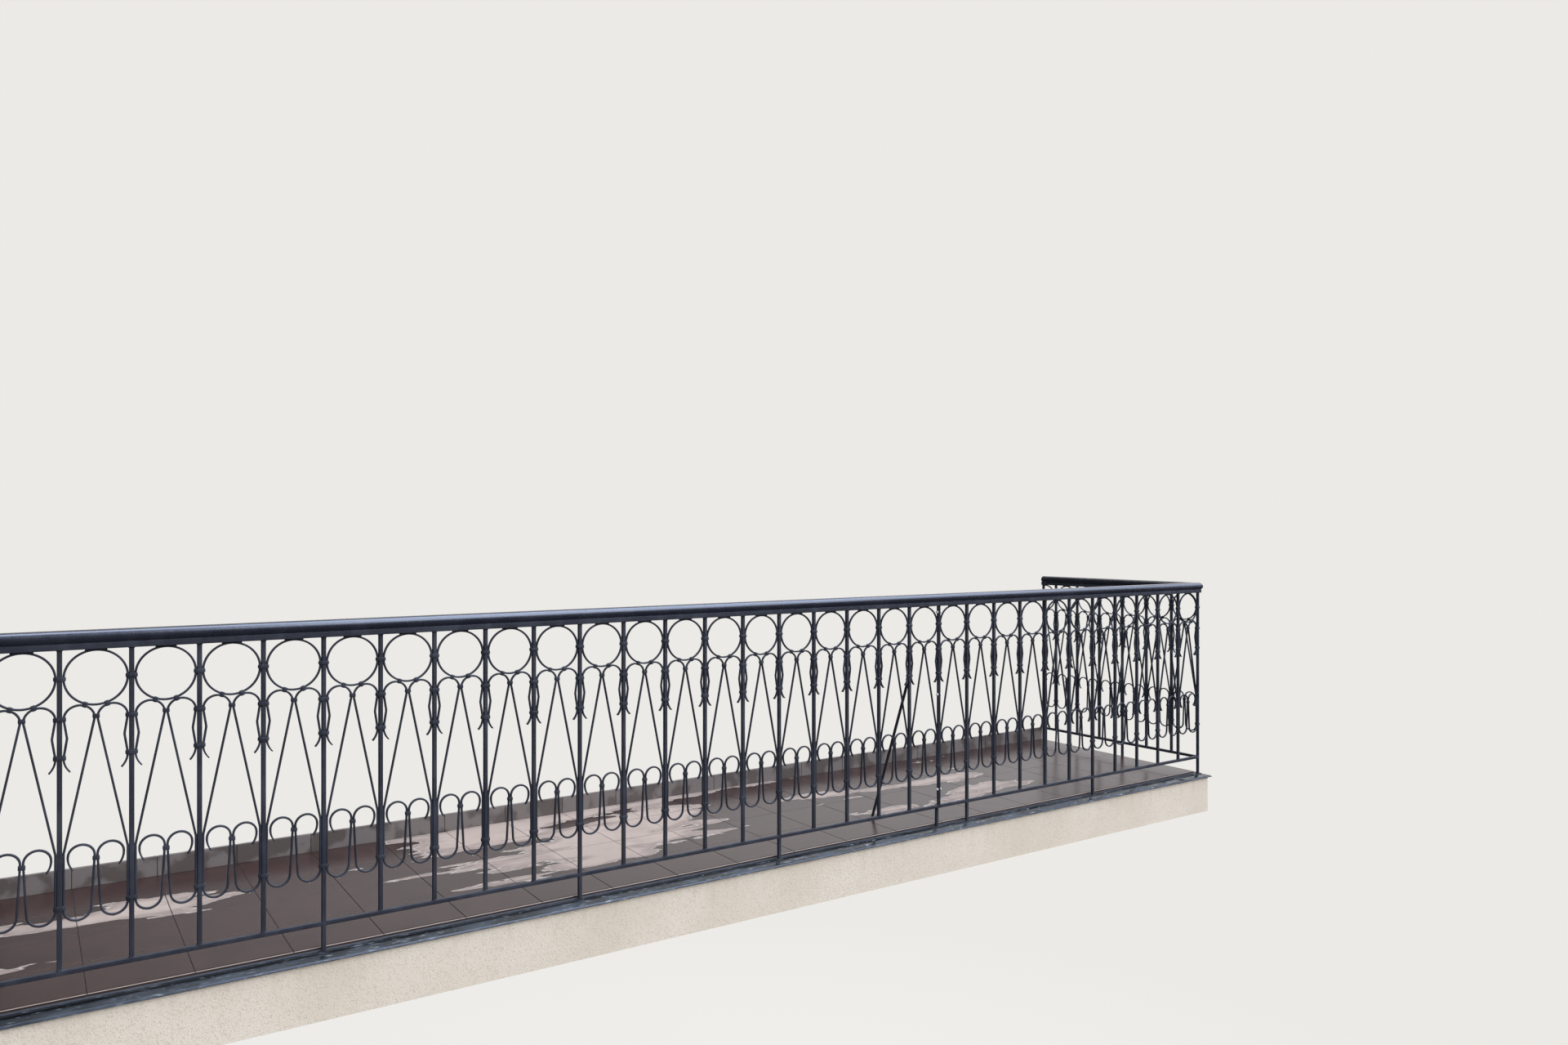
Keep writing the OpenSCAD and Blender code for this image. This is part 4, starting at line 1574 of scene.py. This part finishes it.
@dataclass(frozen=True)
class Scroll:
    """Shape of the scrollwork in one bay: x from the bay's middle, z up from the slab edge."""

    pitch: float
    bar: float
    rail: float  # Height of the rail above the rings
    width: float = 6.5 * MM  # Thickness of the scroll bar in the plane of the railing
    depth: float = 9 * MM  # Its depth across the railing
    seam: float = 0.4 * MM  # Gap between pieces that lie against each other
    v_foot: float = 455 * MM  # Height at which the V legs reach the upright bar
    knot_low: float = 744 * MM  # Height of the knot's lower collar
    knot_bulge: float = 8.5 * MM  # How far the knot swells from the bar
    knot_r: float = 30 * MM  # Radius of the bend at the knot's widest place
    tip_r: float = 60 * MM
    tip_drop: float = 42 * MM
    low_tip_drop: float = 38 * MM
    tip_flare: float = 15 * MM  # Depth of a fishtail at its end
    tip_t: float = 4 * MM  # Its thickness there
    tip_end: Point2 = (0.4 * MM, -0.9 * MM)  # From there to its rounded end
    end_share: float = 0.6  # Share of the thickness that is left at that end
    end_narrow: float = 2 * MM  # How much less deep that end is
    tip_steps: int = 6
    loop_r: float = 39 * MM
    loop_z: float = 284 * MM
    low_arch_r: float = 38 * MM
    low_arch_z: float = 441 * MM
    low_collar: float = 293 * MM  # Height of the collar round the U loops
    rise_collar: float = 430 * MM  # Height of the collar round the rising strands
    round_off: float = 1.4 * MM
    uneven: float = 0.12  # Most that the scroll bar is thicker or thinner than it should be
    # Half length and half depth of the weld between ring and rail
    ring_weld: Point2 = (27 * MM, 3.6 * MM)
    ring_steps: int = 56

    @property
    def ring_r(self) -> float:
        """Outer radius of the ring, which fills the space between two bars."""
        return (self.pitch - self.bar) / 2

    @property
    def ring_z(self) -> float:
        """Height of the ring's centre."""
        return self.rail - self.ring_r

    @property
    def arch_r(self) -> float:
        """Outer radius of the arch, which spans half the bay."""
        return (self.ring_r - 1.5 * self.seam) / 2

    @property
    def arch_x(self) -> float:
        """Place of the left arch's centre."""
        return -self.seam - self.arch_r

    @property
    def arch_z(self) -> float:
        """Height of the arches' centres, so that they touch the ring from below."""
        return self.ring_z - math.sqrt((self.ring_r + self.arch_r) ** 2 - self.arch_x**2)

    @property
    def beside_x(self) -> float:
        """Axis of the strand that runs beside the left upright bar."""
        return -self.ring_r + (self.width + self.seam) / 2

    @property
    def clip_turn(self) -> float:
        """Angle between the ring's lowest point and the clip on an arch."""
        return math.asin(-self.arch_x / (self.ring_r + self.arch_r))

    def fishtail(self, foot: Point2, drop: float) -> list[tuple[Point2, float, float]]:
        """Gives the fishtail below a point, from that point to its end.

        Args:
            foot: Where it starts.
            drop: Height that it takes.

        Returns:
            Point, thickness and depth at each cross-section.
        """
        end, outer = math.degrees(math.asin(drop / self.tip_r)), self.tip_r + self.width / 2
        stations = []
        for k in range(1, self.tip_steps + 1):
            share = k / self.tip_steps
            thick = self.width + (self.tip_t - self.width) * share
            deep = self.depth + (self.tip_flare - self.depth) * share**1.4
            point = arc((foot[0] + self.tip_r, foot[1]), outer - thick / 2, 180 + end * share, 0, 1)[0]
            stations.append((point, thick, deep))
        point, thick, deep = stations[-1]
        end_at = (point[0] + self.tip_end[0], point[1] + self.tip_end[1])
        stations.append((end_at, thick * self.end_share, deep - self.end_narrow))
        return stations

    def half(self) -> list[tuple[Point2, float, float]]:
        """Gives the left half of a bay's scroll, one bar from the upper fishtail to the lower one.

        Returns:
            Point, thickness and depth at each cross-section.
        """
        inner = self.width / 2
        beside, middle = self.beside_x, -inner - self.seam
        knot_c = (beside + self.knot_bulge - self.knot_r, (self.arch_z + self.knot_low) / 2)
        knot_top, knot_foot = (beside, self.arch_z), (beside, self.knot_low)
        knot_on = touch_point(knot_top, knot_c, self.knot_r, -1)
        knot_off = touch_point(knot_foot, knot_c, self.knot_r, 1)
        loop_c, loop_r = (beside - inner + self.loop_r, self.loop_z), self.loop_r - inner
        rise_top = (middle, self.low_arch_z)
        rise_foot = touch_point(rise_top, loop_c, loop_r, -1)
        low_c, low_r = (middle + inner - self.low_arch_r, self.low_arch_z), self.low_arch_r - inner

        points: list[Point2] = [knot_foot, *self.straight(knot_foot, knot_off, 3)]
        points += arc(knot_c, self.knot_r, bearing(knot_c, knot_off), bearing(knot_c, knot_on), 4)
        points += self.straight(knot_on, knot_top, 3)
        points += arc((self.arch_x, self.arch_z), self.arch_r - inner, 180, 0, 16)
        points += self.straight((middle, self.arch_z), (beside, self.v_foot), 8)
        points += [(beside, self.v_foot)]
        points += self.straight((beside, self.v_foot), (beside, self.loop_z), 4)
        points += arc(loop_c, loop_r, 180, 360 + bearing(loop_c, rise_foot), 14)
        points += self.straight(rise_foot, rise_top, 4)
        points += arc(low_c, low_r, 0, 180, 13)
        bar = [(p, self.width, self.depth) for p in points]
        tips = self.fishtail(knot_foot, self.tip_drop)
        return tips[::-1] + bar + self.fishtail((low_c[0] - low_r, low_c[1]), self.low_tip_drop)

    @staticmethod
    def straight(start: Point2, end: Point2, count: int) -> list[Point2]:
        """Lists the points between two points, without both ends."""
        (x0, y0), (x1, y1) = start, end
        return [(x0 + (x1 - x0) * k / count, y0 + (y1 - y0) * k / count) for k in range(1, count)]

    def half_mesh(self) -> Mesh:
        """Forges the left half of the scroll.

        Returns:
            The mesh, about the bay's middle and the slab edge.
        """
        rng, stations = random.Random(round(self.pitch / MM)), []
        for (x, z), thick, deep in self.half():
            hand = rng.uniform(-self.uneven, self.uneven) * MM
            outline = bar_outline(thick + hand, deep + 2 * hand, min(self.round_off, thick / 3))
            stations.append(Station(Vector((x, 0, z)), outline))
        return forged(stations)

    def ring_path(self, start: float, end: float, steps: int) -> list[Station]:
        """Gives the ring's cross-sections from one angle to another, about its own centre."""
        outline, radius = bar_outline(self.width, self.depth, self.round_off), self.ring_r - self.width / 2
        return [Station(Vector((x, 0, z)), outline) for x, z in arc((0, 0), radius, start, end, steps)]

    def ring_mesh(self) -> Mesh:
        """Forges the ring with its weld to the rail.

        Returns:
            The mesh, about the ring's centre.
        """
        count = self.ring_steps
        ring = forged(self.ring_path(0, 360 - 360 / count, count - 1), closed=True)
        long, weld_d = self.ring_weld
        rng, rings, top = random.Random(2), [], self.ring_r
        for x, z in arc((0, 0), self.ring_r - 1 * MM, 70, 110, 8):
            deep = weld_d * rng.uniform(0.85, 1.15) * (1 - 0.25 * abs(x) / long)
            corners = ((-deep, z), (-deep * 0.8, top), (deep * 0.8, top), (deep, z))
            rings.append([Vector((x, y, height)) for y, height in corners])
        return welded([ring, skinned(rings)])


@dataclass
class BayWork(Part):
    """Work in the bays of the railing, with the scroll drawn for both widths of bay."""

    def scroll(self, pitch: float) -> Scroll:
        """Draws the scroll for bays of that width."""
        return Scroll(pitch, self.plan.bar, self.plan.subrail_z - self.plan.edge_z)

    @cached_property
    def front(self) -> Scroll:
        """Scroll of a front bay."""
        return self.scroll(self.plan.front_pitch)

    @cached_property
    def side(self) -> Scroll:
        """Scroll of a side bay."""
        return self.scroll(self.plan.side_pitch)


@dataclass
class Scrollwork(BayWork):
    """The rings and forged scrolls of all bays."""

    drop_share: float = 0.45  # Share of the U loops that hold a drop of rain
    drop_r: float = 2.2 * MM
    # Height and half width along a drop, in radii
    drop_shape: Points = ((-1.0, 0.35), (-0.75, 0.8), (-0.2, 1.0), (0.5, 0.75), (1.0, 0.3))

    def short_ring(self) -> Mesh:
        """Forges the ring of the short bay, cut off at the wall post, about its own centre."""
        end = math.degrees(math.acos(self.plan.short_reach / (self.side.ring_r - self.side.width / 2)))
        return forged(self.side.ring_path(end, 360 - end, 46))

    def build(self) -> None:
        """Builds the rings and scrolls of the front and both sides."""
        plan = self.plan
        half, ring, lift = self.front.half_mesh(), self.front.ring_mesh(), UP * self.front.ring_z
        pair = welded([half, mirrored(half)])
        for hand in Hand:
            bays, name = plan.front_bays(hand), "front_" + hand.word
            self.forging("scrolls_" + name, self.irons(pair, bays))
            self.forging("rings_" + name, self.irons(ring, [bay + lift for bay in bays]))
        half, ring, lift = self.side.half_mesh(), self.side.ring_mesh(), UP * self.side.ring_z
        pair = welded([half, mirrored(half)])
        for hand in Hand:
            bays, short = plan.side_bays(hand), plan.short_bay(hand)
            for node, whole, cut, rise in (
                ("scrolls_", pair, half, Vector()), ("rings_", ring, self.short_ring(), lift)
            ):
                row = self.irons(whole, [bay + rise for bay in bays], turn=QUARTER_TURN)
                last = self.irons(cut, [short + rise], turn=QUARTER_TURN)
                self.forging(node + hand.word, welded([row, last]))
        self.hanging_drops()

    def hanging_drops(self) -> None:
        """Hangs drops of rain under some of the U loops."""
        rng, scroll, radius = random.Random(17), self.front, self.drop_r
        spots, sizes = [], []
        loop_x = scroll.beside_x - scroll.width / 2 + scroll.loop_r
        low = scroll.loop_z - scroll.loop_r - 0.6 * radius
        for bay in self.plan.front_bays(Hand.LEFT) + self.plan.front_bays(Hand.RIGHT):
            for side in (-1, 1):
                if rng.random() < self.drop_share:
                    size = rng.uniform(0.6, 1.0)
                    spots.append(bay + Vector((side * loop_x + rng.uniform(-6, 6) * MM, 0, low)))
                    sizes.append(Vector((size, size, size)))
        layers = [Station(UP * z * radius, round_outline(r * radius, 10)) for z, r in self.drop_shape]
        water = self.shop.palette.water
        self.shop.dress("hanging_drops", self.shop.row(forged(layers), spots, water, stretch=sizes), water)


@dataclass
class Collars(BayWork):
    """The forged collars and clips that bind the scrollwork."""

    height: float = 12 * MM
    clip_height: float = 11 * MM  # Length of a clip along the ring
    band: float = 2.3 * MM
    bevel: float = 0.8 * MM  # How far the band's outer edges are softened
    lean: float = 0.6 * MM  # Room for a strand that leans inside a collar
    above_arch: float = 4 * MM  # Height of the middle collar above the arches' centres
    play: float = 0.02  # Most that a collar is turned at random, in radians

    def wrapped(self, hull: Points, height: float | None = None) -> Mesh:
        """Wraps a band round what it binds.

        Args:
            hull: Corners of what it binds, counter-clockwise.
            height: Height of the band, or none for the usual one.

        Returns:
            The mesh, about z = 0.
        """
        t, h, soft = self.band / 2, (height or self.height) / 2, self.bevel
        outline = [(-t, -h), (t - soft, -h), (t, -h + 1.6 * soft)]
        outline += [(t, h - 1.6 * soft), (t - soft, h), (-t, h)]
        path = []
        for i, corner in enumerate(hull):
            before, here, after = Vector(hull[i - 1]), Vector(corner), Vector(hull[(i + 1) % len(hull)])
            for edge in (here - before, after - here):
                out = here + Vector((edge.y, -edge.x)).normalized() * t
                path.append(Station(Vector((out.x, out.y, 0)), outline))
        return forged(path, UP, closed=True)

    def bar_hull(self, reach: float) -> list[Point2]:
        """Gives the corners of a bar with a strand on its left and right, as far as reach."""
        bar, deep = self.plan.bar / 2, self.front.depth / 2
        return point_symmetric([(reach, -deep), (reach, deep), (bar, bar), (-bar, bar)])

    def corner_hull(self, reach: float) -> list[Point2]:
        """Gives the corners of a corner post with one strand of each railing."""
        b, d, r = self.plan.bar / 2, self.front.depth / 2, reach
        return [(b, -b), (b, b), (d, r), (-d, r), (-r, d), (-r, -d), (-b, -b)]

    def heights(self, scroll: Scroll) -> list[tuple[float, float]]:
        """Lists the collars of one bar.

        Args:
            scroll: Scroll of the bays beside it.

        Returns:
            Height above the slab edge, and reach of the strands that it binds.
        """
        straight = scroll.bar / 2 + scroll.width + scroll.seam
        leaning = [(z, straight + self.lean) for z in (scroll.arch_z, scroll.knot_low)]
        return [(scroll.ring_z, straight), *leaning, (scroll.low_collar, straight)]

    def side_by_side(self, scroll: Scroll, right: float | None = None) -> Mesh:
        """Wraps a band round the two strands in the middle of a bay.

        Args:
            scroll: Scroll of the bay.
            right: How far it reaches to the right, or none for the usual band.

        Returns:
            The mesh.
        """
        half, deep = scroll.width + scroll.seam + self.lean / 2, scroll.depth / 2
        right = right or half
        return self.wrapped([(right, -deep), (right, deep), (-half, deep), (-half, -deep)])

    def rows(self, scroll: Scroll, bars: Places, bays: Places, turn: Vector) -> list[Mesh]:
        """Places the collars of a row of bars and bays.

        Args:
            scroll: Scroll of the bays.
            bars: Axes of the bars, at the slab edge.
            bays: Middles of the bays, at the slab edge.
            turn: How the railing is turned in plan.

        Returns:
            The meshes.
        """
        meshes = []
        for number, (z, reach) in enumerate(self.heights(scroll)):
            spots = [b + UP * z for b in bars]
            band = self.wrapped(self.bar_hull(reach))
            meshes.append(self.irons(band, spots, turn=turn, play=self.play, seed=number))
        spots = [b + UP * z for b in bays for z in (scroll.arch_z + self.above_arch, scroll.rise_collar)]
        meshes.append(self.irons(self.side_by_side(scroll), spots, turn=turn, play=self.play, seed=20))
        return meshes + [self.clips(scroll, bays, turn, side) for side in (-1, 1)]

    def clips(self, scroll: Scroll, bays: Places, turn: Vector, side: int) -> Mesh:
        """Places the clips that tie the arches to the rings.

        Args:
            scroll: Scroll of the bays.
            bays: Middles of the bays, at the slab edge.
            turn: How the railing is turned in plan.
            side: 1 for the clips on the left, -1 for those on the right.

        Returns:
            The mesh.
        """
        sine, cosine = math.sin(side * scroll.clip_turn), math.cos(side * scroll.clip_turn)
        deep, half = scroll.depth / 2, scroll.width - 0.3 * MM
        clip = self.wrapped(point_symmetric([(half, -deep), (half, deep)]), self.clip_height)

        def onto_ring(point: Vector) -> Vector:
            """Moves a point from beside the ring's axis onto the ring."""
            out, up = scroll.ring_r + point.x, point.z
            return Vector((cosine * up - sine * out, point.y, scroll.ring_z - cosine * out - sine * up))

        return self.irons(bent(clip, onto_ring), bays, turn=turn)

    def build(self) -> None:
        """Builds the collars of the front and both sides."""
        plan = self.plan
        for hand in (Hand.RIGHT, Hand.LEFT):
            bars = [plan.front_axis(i, plan.edge_z) for i in plan.front_bars(hand)]
            meshes = self.rows(self.front, bars, plan.front_bays(hand), Vector())
            name = "front_" + hand.word
            self.iron("collars_forged_" + name, welded(meshes), "collars_" + name)
        for hand in Hand:
            bars = [plan.side_axis(hand, j, plan.edge_z) for j in range(1, plan.side_count + 1)]
            meshes = self.rows(self.side, bars, plan.side_bays(hand), QUARTER_TURN)
            short = plan.short_bay(hand)
            meshes.append(self.clips(self.side, [short], QUARTER_TURN, 1))
            last = self.side_by_side(self.side, plan.short_reach - self.band)
            spots = [short + UP * (self.side.arch_z + self.above_arch), short + UP * self.side.rise_collar]
            meshes.append(self.irons(last, spots, turn=QUARTER_TURN))
            meshes.append(self.corner(hand))
            self.iron("collars_forged_" + hand.word, welded(meshes), "collars_" + hand.word)

    def corner(self, hand: Hand) -> Mesh:
        """Builds the collars of a corner post.

        Args:
            hand: Which corner.

        Returns:
            The mesh.
        """
        meshes = []
        for z, reach in self.heights(self.front):
            model = self.wrapped(self.corner_hull(reach))
            if hand is Hand.LEFT:
                model = mirrored(model)
            meshes.append(self.irons(model, [self.plan.side_axis(hand, 0, self.plan.edge_z) + UP * z]))
        return welded(meshes)


@dataclass
class SpliceAndStay(Part):
    """The bolted splice of the two welded lengths, and the raking stay."""

    # Heights of the bolts above the slab edge
    bolt_heights: tuple[float, ...] = (1040 * MM, 640 * MM, 180 * MM)
    head: float = 10 * MM  # Width across the flats of a bolt's head
    head_t: float = 5 * MM
    washer_r: float = 6.4 * MM
    washer_t: float = 1.4 * MM
    shank_r: float = 2.6 * MM
    shank_out: float = 8 * MM  # How far the shank stands out of the nut's washer
    stay_d: float = 14 * MM  # Diameter of the stay
    # How far the boss at its head stands out, and that its rim is rounded by
    boss: Point2 = (6.5 * MM, 1.5 * MM)

    def build(self) -> None:
        """Builds the splice bars, their bolts, the foot and the stay."""
        low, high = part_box("splice_bars")
        flat, y = (high[0] - low[0] - 0.4 * MM) / 2, (low[1] + high[1]) / 2
        outline = bar_outline(flat, self.plan.bar, 1 * MM)
        flats = [
            drawn_bar(Vector((x, y, low[2])), Vector((x, y, high[2])), outline, 12)
            for x in (low[0] + flat / 2, high[0] - flat / 2)
        ]
        self.iron("splice_flats", welded(flats), "splice_bars")
        self.bolts((low[0] + high[0]) / 2, y, (high[0] - low[0]) / 2)
        low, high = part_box("splice_foot")
        at = [(low[i] + high[i]) / 2 for i in (0, 1)]
        outline = bar_outline(high[0] - low[0], high[1] - low[1], 1.3 * MM)
        foot = drawn_bar(Vector((*at, low[2])), Vector((*at, high[2])), outline, 4)
        self.forging("splice_foot", foot)
        self.stay()

    def disc(self, start: float, end: float, radius: float, count: int) -> Mesh:
        """Turns a disc with softened rims.

        Args:
            start: Its one face along x.
            end: Its other face.
            radius: Its radius.
            count: Number of points round it.

        Returns:
            The mesh.
        """
        soft = 0.6 * MM
        rims = ((start, radius - soft), (start + soft, radius), (end - soft, radius), (end, radius - soft))
        return forged([Station(Vector((at, 0, 0)), round_outline(r, count)) for at, r in rims])

    def bolts(self, x: float, y: float, half: float) -> None:
        """Builds the bolts through the splice.

        Args:
            x: Middle of the splice.
            y: Axis of the railing.
            half: Half the thickness that the bolts hold.
        """
        bolt, outer, parts = self.shop.palette.bolt, half + self.washer_t, []
        for side in (-1, 1):
            parts.append(self.disc(half * side, outer * side, self.washer_r, 18))
            parts.append(self.disc(outer * side, (outer + self.head_t) * side, self.head / 2 * 1.12, 6))
        parts.append(self.disc(outer, outer + self.shank_out, self.shank_r, 10))
        spots = [Vector((x, y, self.plan.edge_z + z)) for z in self.bolt_heights]
        self.shop.dress("splice_bolts", self.shop.row(welded(parts), spots, bolt), bolt)

    def stay(self) -> None:
        """Builds the stay with the boss at its head, cut to its CAD box."""
        low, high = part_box("raking_stay")
        x, r, boss_r = (low[0] + high[0]) / 2, self.stay_d / 2, (high[0] - low[0]) / 2
        head, foot = Vector((x, low[1], high[2] - boss_r)), Vector((x, high[1] - r, low[2]))
        rod = drawn_bar(head, foot, round_outline(r, 14), 12, Vector((1, 0, 0)))
        rod = bent(rod, lambda p: (p.x, max(p.y, low[1]), max(p.z, low[2])))
        out, soft = self.boss
        rims = ((0, boss_r), (out - soft, boss_r), (out, boss_r - soft))
        boss = [Station(Vector((x, low[1] + y, head.z)), round_outline(radius, 20)) for y, radius in rims]
        self.forging("raking_stay", welded([rod, forged(boss, UP)]))


# Stage


@dataclass(frozen=True)
class PhotoCamera:
    """The camera at the place that the railing's lines in the photo give."""

    place: tuple[float, float, float] = (-2.8288, -5.1858, 1.5274)
    yaw: float = 34.7416  # Its direction from +Y towards +X, in degrees. It is level
    lens: float = 25.3607  # Focal length in millimetres on a 36 mm sensor
    image_width: int = 1920
    horizon_drop: float = 12.265  # How far the horizon lies below the photo's middle, in pixels

    def build(self) -> None:
        """Adds the camera and makes it the scene's."""
        data = bpy.data.cameras.new("photo_camera")
        data.lens = self.lens
        data.sensor_width = 36.0
        data.shift_y = self.horizon_drop / self.image_width
        data.clip_end = 300.0
        camera = in_scene("photo_camera", data)
        camera.location = self.place
        camera.rotation_euler = (math.radians(90), 0, -math.radians(self.yaw))
        bpy.context.scene.camera = camera


@dataclass(frozen=True)
class Studio:
    """Plain pale surroundings with a bright soft ceiling and an open right-hand side."""

    floor_z: float = -2.9  # Height of the floor, a storey below the balcony
    floor_half: float = 120.0
    # Distances from the middle between which the floor fades into the background
    fade: Point2 = (3.5, 8.0)
    pale: str = "#eceae6"  # Colour of the floor and the background
    glow: float = 0.62  # Share of that colour which the floor shows even in shadow
    lit_tone: str = "#868685"  # Tone of the floor that takes light and shadow
    bounce: str = "#77746f"  # Tone of the floor in the light that it throws back
    mirrored: str = "#2b2f38"  # Tone of the floor in reflections, which is dark and a little blue
    around: str = "#f4f4f6"  # Colour of the light from the surroundings
    ceiling: float = 2.1  # Strength of the soft ceiling
    ceiling_z: Point2 = (0.74, 0.86)  # Heights of a direction between which the ceiling starts
    open_side: float = 2.6  # Strength of the surroundings towards +X
    flag_side: float = 0.14  # Strength of the surroundings towards -X
    turn_x: Point2 = (-0.5, 0.85)  # Directions between which the one side goes over into the other
    wall_side: float = 0.4  # What is left of them towards the wall, as a share
    sky: float = 6.6  # Strength of the strip of overcast sky in front of the balcony
    sky_colour: str = "#cfddfb"
    sky_axis: Point2 = (-1.2, 1.2)  # Middle of the shell that carries it, in y and z
    sky_r: float = 9.0
    sky_ends: Point2 = (-25.0, 35.0)  # Its ends in x
    sky_left: Point2 = (-2.4, 0.6)  # Places in x between which its lower part brightens
    sky_right: Point2 = (3.0, 14.0)  # Places in x between which it grows dimmer
    dim: Point2 = (0.1, 0.35)  # What is left of it at its dim ends, on the left and on the right
    key: float = 1.4  # Strength of the soft key light from the front right
    fill: float = 1.0  # Strength of the soft light on the faces towards the wall

    def build(self) -> None:
        """Adds the floor, the surroundings and the two lights."""
        self.floor()
        self.surroundings()
        self.strip_of_sky()
        self.light("soft_key", self.key, towards=Vector((0.45, -0.75, 0.55)), spread=40)
        self.light("soft_fill", self.fill, towards=Vector((-0.2, 0.97, 0.1)), spread=60)
        bpy.context.scene.view_settings.view_transform = "Standard"

    def light(self, name: str, strength: float, towards: Vector, spread: float) -> None:
        """Adds a broad light that reflections don't show.

        Args:
            name: Name of the light.
            strength: Its strength.
            towards: Direction that it comes from.
            spread: Its width in degrees.
        """
        data = bpy.data.lights.new(name, "SUN")
        data.energy = strength
        data.angle = math.radians(spread)
        light = in_scene(name, data)
        light.visible_glossy = False
        light.rotation_euler = towards.to_track_quat("Z", "Y").to_euler()

    def screen(
        self, name: str, material: str, corners: Sequence[tuple], faces: Sequence[tuple]
    ) -> tuple[Thing, Pattern]:
        """Adds a screen of the stage with an empty material.

        Args:
            name: Name of the screen.
            material: Name of its material.
            corners: Its corners.
            faces: Its faces.

        Returns:
            The screen, and the material's tree.
        """
        mesh = bpy.data.meshes.new(name)
        mesh.from_pydata(corners, [], faces)
        surface = Surface(material)
        mesh.materials.append(surface.material)
        return in_scene(name, mesh), surface

    def floor(self) -> None:
        """Adds the floor, which keeps the object's shadow and fades into the background."""
        h, z = self.floor_half, self.floor_z
        corners = [(-h, -h, z), (h, -h, z), (h, h, z), (-h, h, z)]
        floor, pattern = self.screen("pale_floor", "pale_studio_floor", corners, [(0, 1, 2, 3)])
        tree = pattern.tree
        rays = add_node(tree, "ShaderNodeLightPath")
        tone = pattern.coats(self.bounce, (rays["Is Glossy Ray"], self.mirrored, 1))
        matt = add_node(tree, "ShaderNodeBsdfDiffuse", {"Color": tone})[0]
        glow = add_node(tree, "ShaderNodeEmission", {"Color": self.pale, "Strength": self.glow})[0]
        shade = add_node(tree, "ShaderNodeBsdfDiffuse", {"Color": self.lit_tone})[0]
        near = add_node(tree, "ShaderNodeAddShader", {0: glow, 1: shade})[0]
        reach = add_node(tree, "ShaderNodeVectorMath", {"operation": "LENGTH", 0: pattern.place})
        far = pattern.level(reach["Value"], 0, 1, *self.fade, eased=True)
        even = add_node(tree, "ShaderNodeEmission", {"Color": self.pale})[0]
        shown = add_node(tree, "ShaderNodeMixShader", {0: far, 1: near, 2: even})[0]
        values = {0: rays["Is Camera Ray"], 1: matt, 2: shown}
        mixed = add_node(tree, "ShaderNodeMixShader", values)[0]
        add_node(tree, "ShaderNodeOutputMaterial", {"Surface": mixed})
        floor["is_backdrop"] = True

    def surroundings(self) -> None:
        """Sets the world: the pale background for the camera, and the light for all else."""
        world = bpy.data.worlds.new("pale_surroundings")
        bpy.context.scene.world = world
        world.use_nodes = True
        pattern = Pattern(world.node_tree, "Generated")
        tree = pattern.tree
        side = pattern.along("X", *self.turn_x, self.flag_side, self.open_side, eased=True)
        wall = pattern.along("Y", 0.0, 0.5, 1.0, self.wall_side)
        above = pattern.along("Z", *self.ceiling_z, eased=True)
        around = pattern.joined(Meet.WHERE_ALL, side, wall)
        values = {"data_type": "FLOAT", 0: above, 2: around, 3: self.ceiling}
        strength = add_node(tree, "ShaderNodeMix", values)[0]
        values = {"Color": self.around, "Strength": strength}
        light = add_node(tree, "ShaderNodeBackground", values)[0]
        shown = add_node(tree, "ShaderNodeBackground", {"Color": self.pale})[0]
        seen = add_node(tree, "ShaderNodeLightPath")["Is Camera Ray"]
        mixed = add_node(tree, "ShaderNodeMixShader", {0: seen, 1: light, 2: shown})[0]
        add_node(tree, "ShaderNodeOutputWorld", {"Surface": mixed})

    def strip_of_sky(self) -> None:
        """Adds the strip of overcast sky, which only reflections show.

        It is brightest overhead, ends above the wall and fades down towards the front. Its lower
        part is dimmer at the left, and all of it is dimmer at the right.
        """
        (y, z), r = self.sky_axis, self.sky_r
        rim = arc((y, z), r, 180, 60, 24)
        corners = [(x, *point) for point in rim for x in self.sky_ends]
        faces = [(2 * k, 2 * k + 1, 2 * k + 3, 2 * k + 2) for k in range(len(rim) - 1)]
        strip, pattern = self.screen("strip_of_sky", "overcast_sky", corners, faces)
        strip.visible_camera = strip.visible_diffuse = strip.visible_shadow = False
        rise = pattern.along("Z", z + 0.08 * r, z + 0.8 * r, eased=True)
        left = pattern.along("X", *self.sky_left, self.dim[0], 1.0, eased=True)
        overhead = pattern.along("Z", z + 0.9 * r, z + 0.99 * r, eased=True)
        lower = pattern.joined(Meet.WHERE_ALL, rise, left)
        shown = pattern.joined(Meet.WHERE_ANY, lower, overhead)
        end = pattern.along("Y", y + 0.4 * r, y + 0.1 * r, eased=True)
        right = pattern.along("X", *self.sky_right, self.sky, self.dim[1] * self.sky)
        values = {"Color": self.sky_colour, "Strength": pattern.joined(Meet.WHERE_ALL, shown, end, right)}
        light = add_node(pattern.tree, "ShaderNodeEmission", values)[0]
        add_node(pattern.tree, "ShaderNodeOutputMaterial", {"Surface": light})
        strip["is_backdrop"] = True


def main() -> None:
    """Builds the balcony's looks round its frame."""
    logging.basicConfig(level=logging.INFO, format="%(name)s %(message)s")
    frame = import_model()
    PhotoCamera().build()
    plan = Plan.from_frame()
    shop = Workshop(Palette(plan.edge_z), frame["nodes"])
    for part in (Slab, Floor, Flashing, Rails, Uprights, Scrollwork, Collars, SpliceAndStay):
        part(shop, plan).build()
    Studio().build()
    LOG.info("%d pieces", shop.count)


if __name__ == "__main__":
    main()
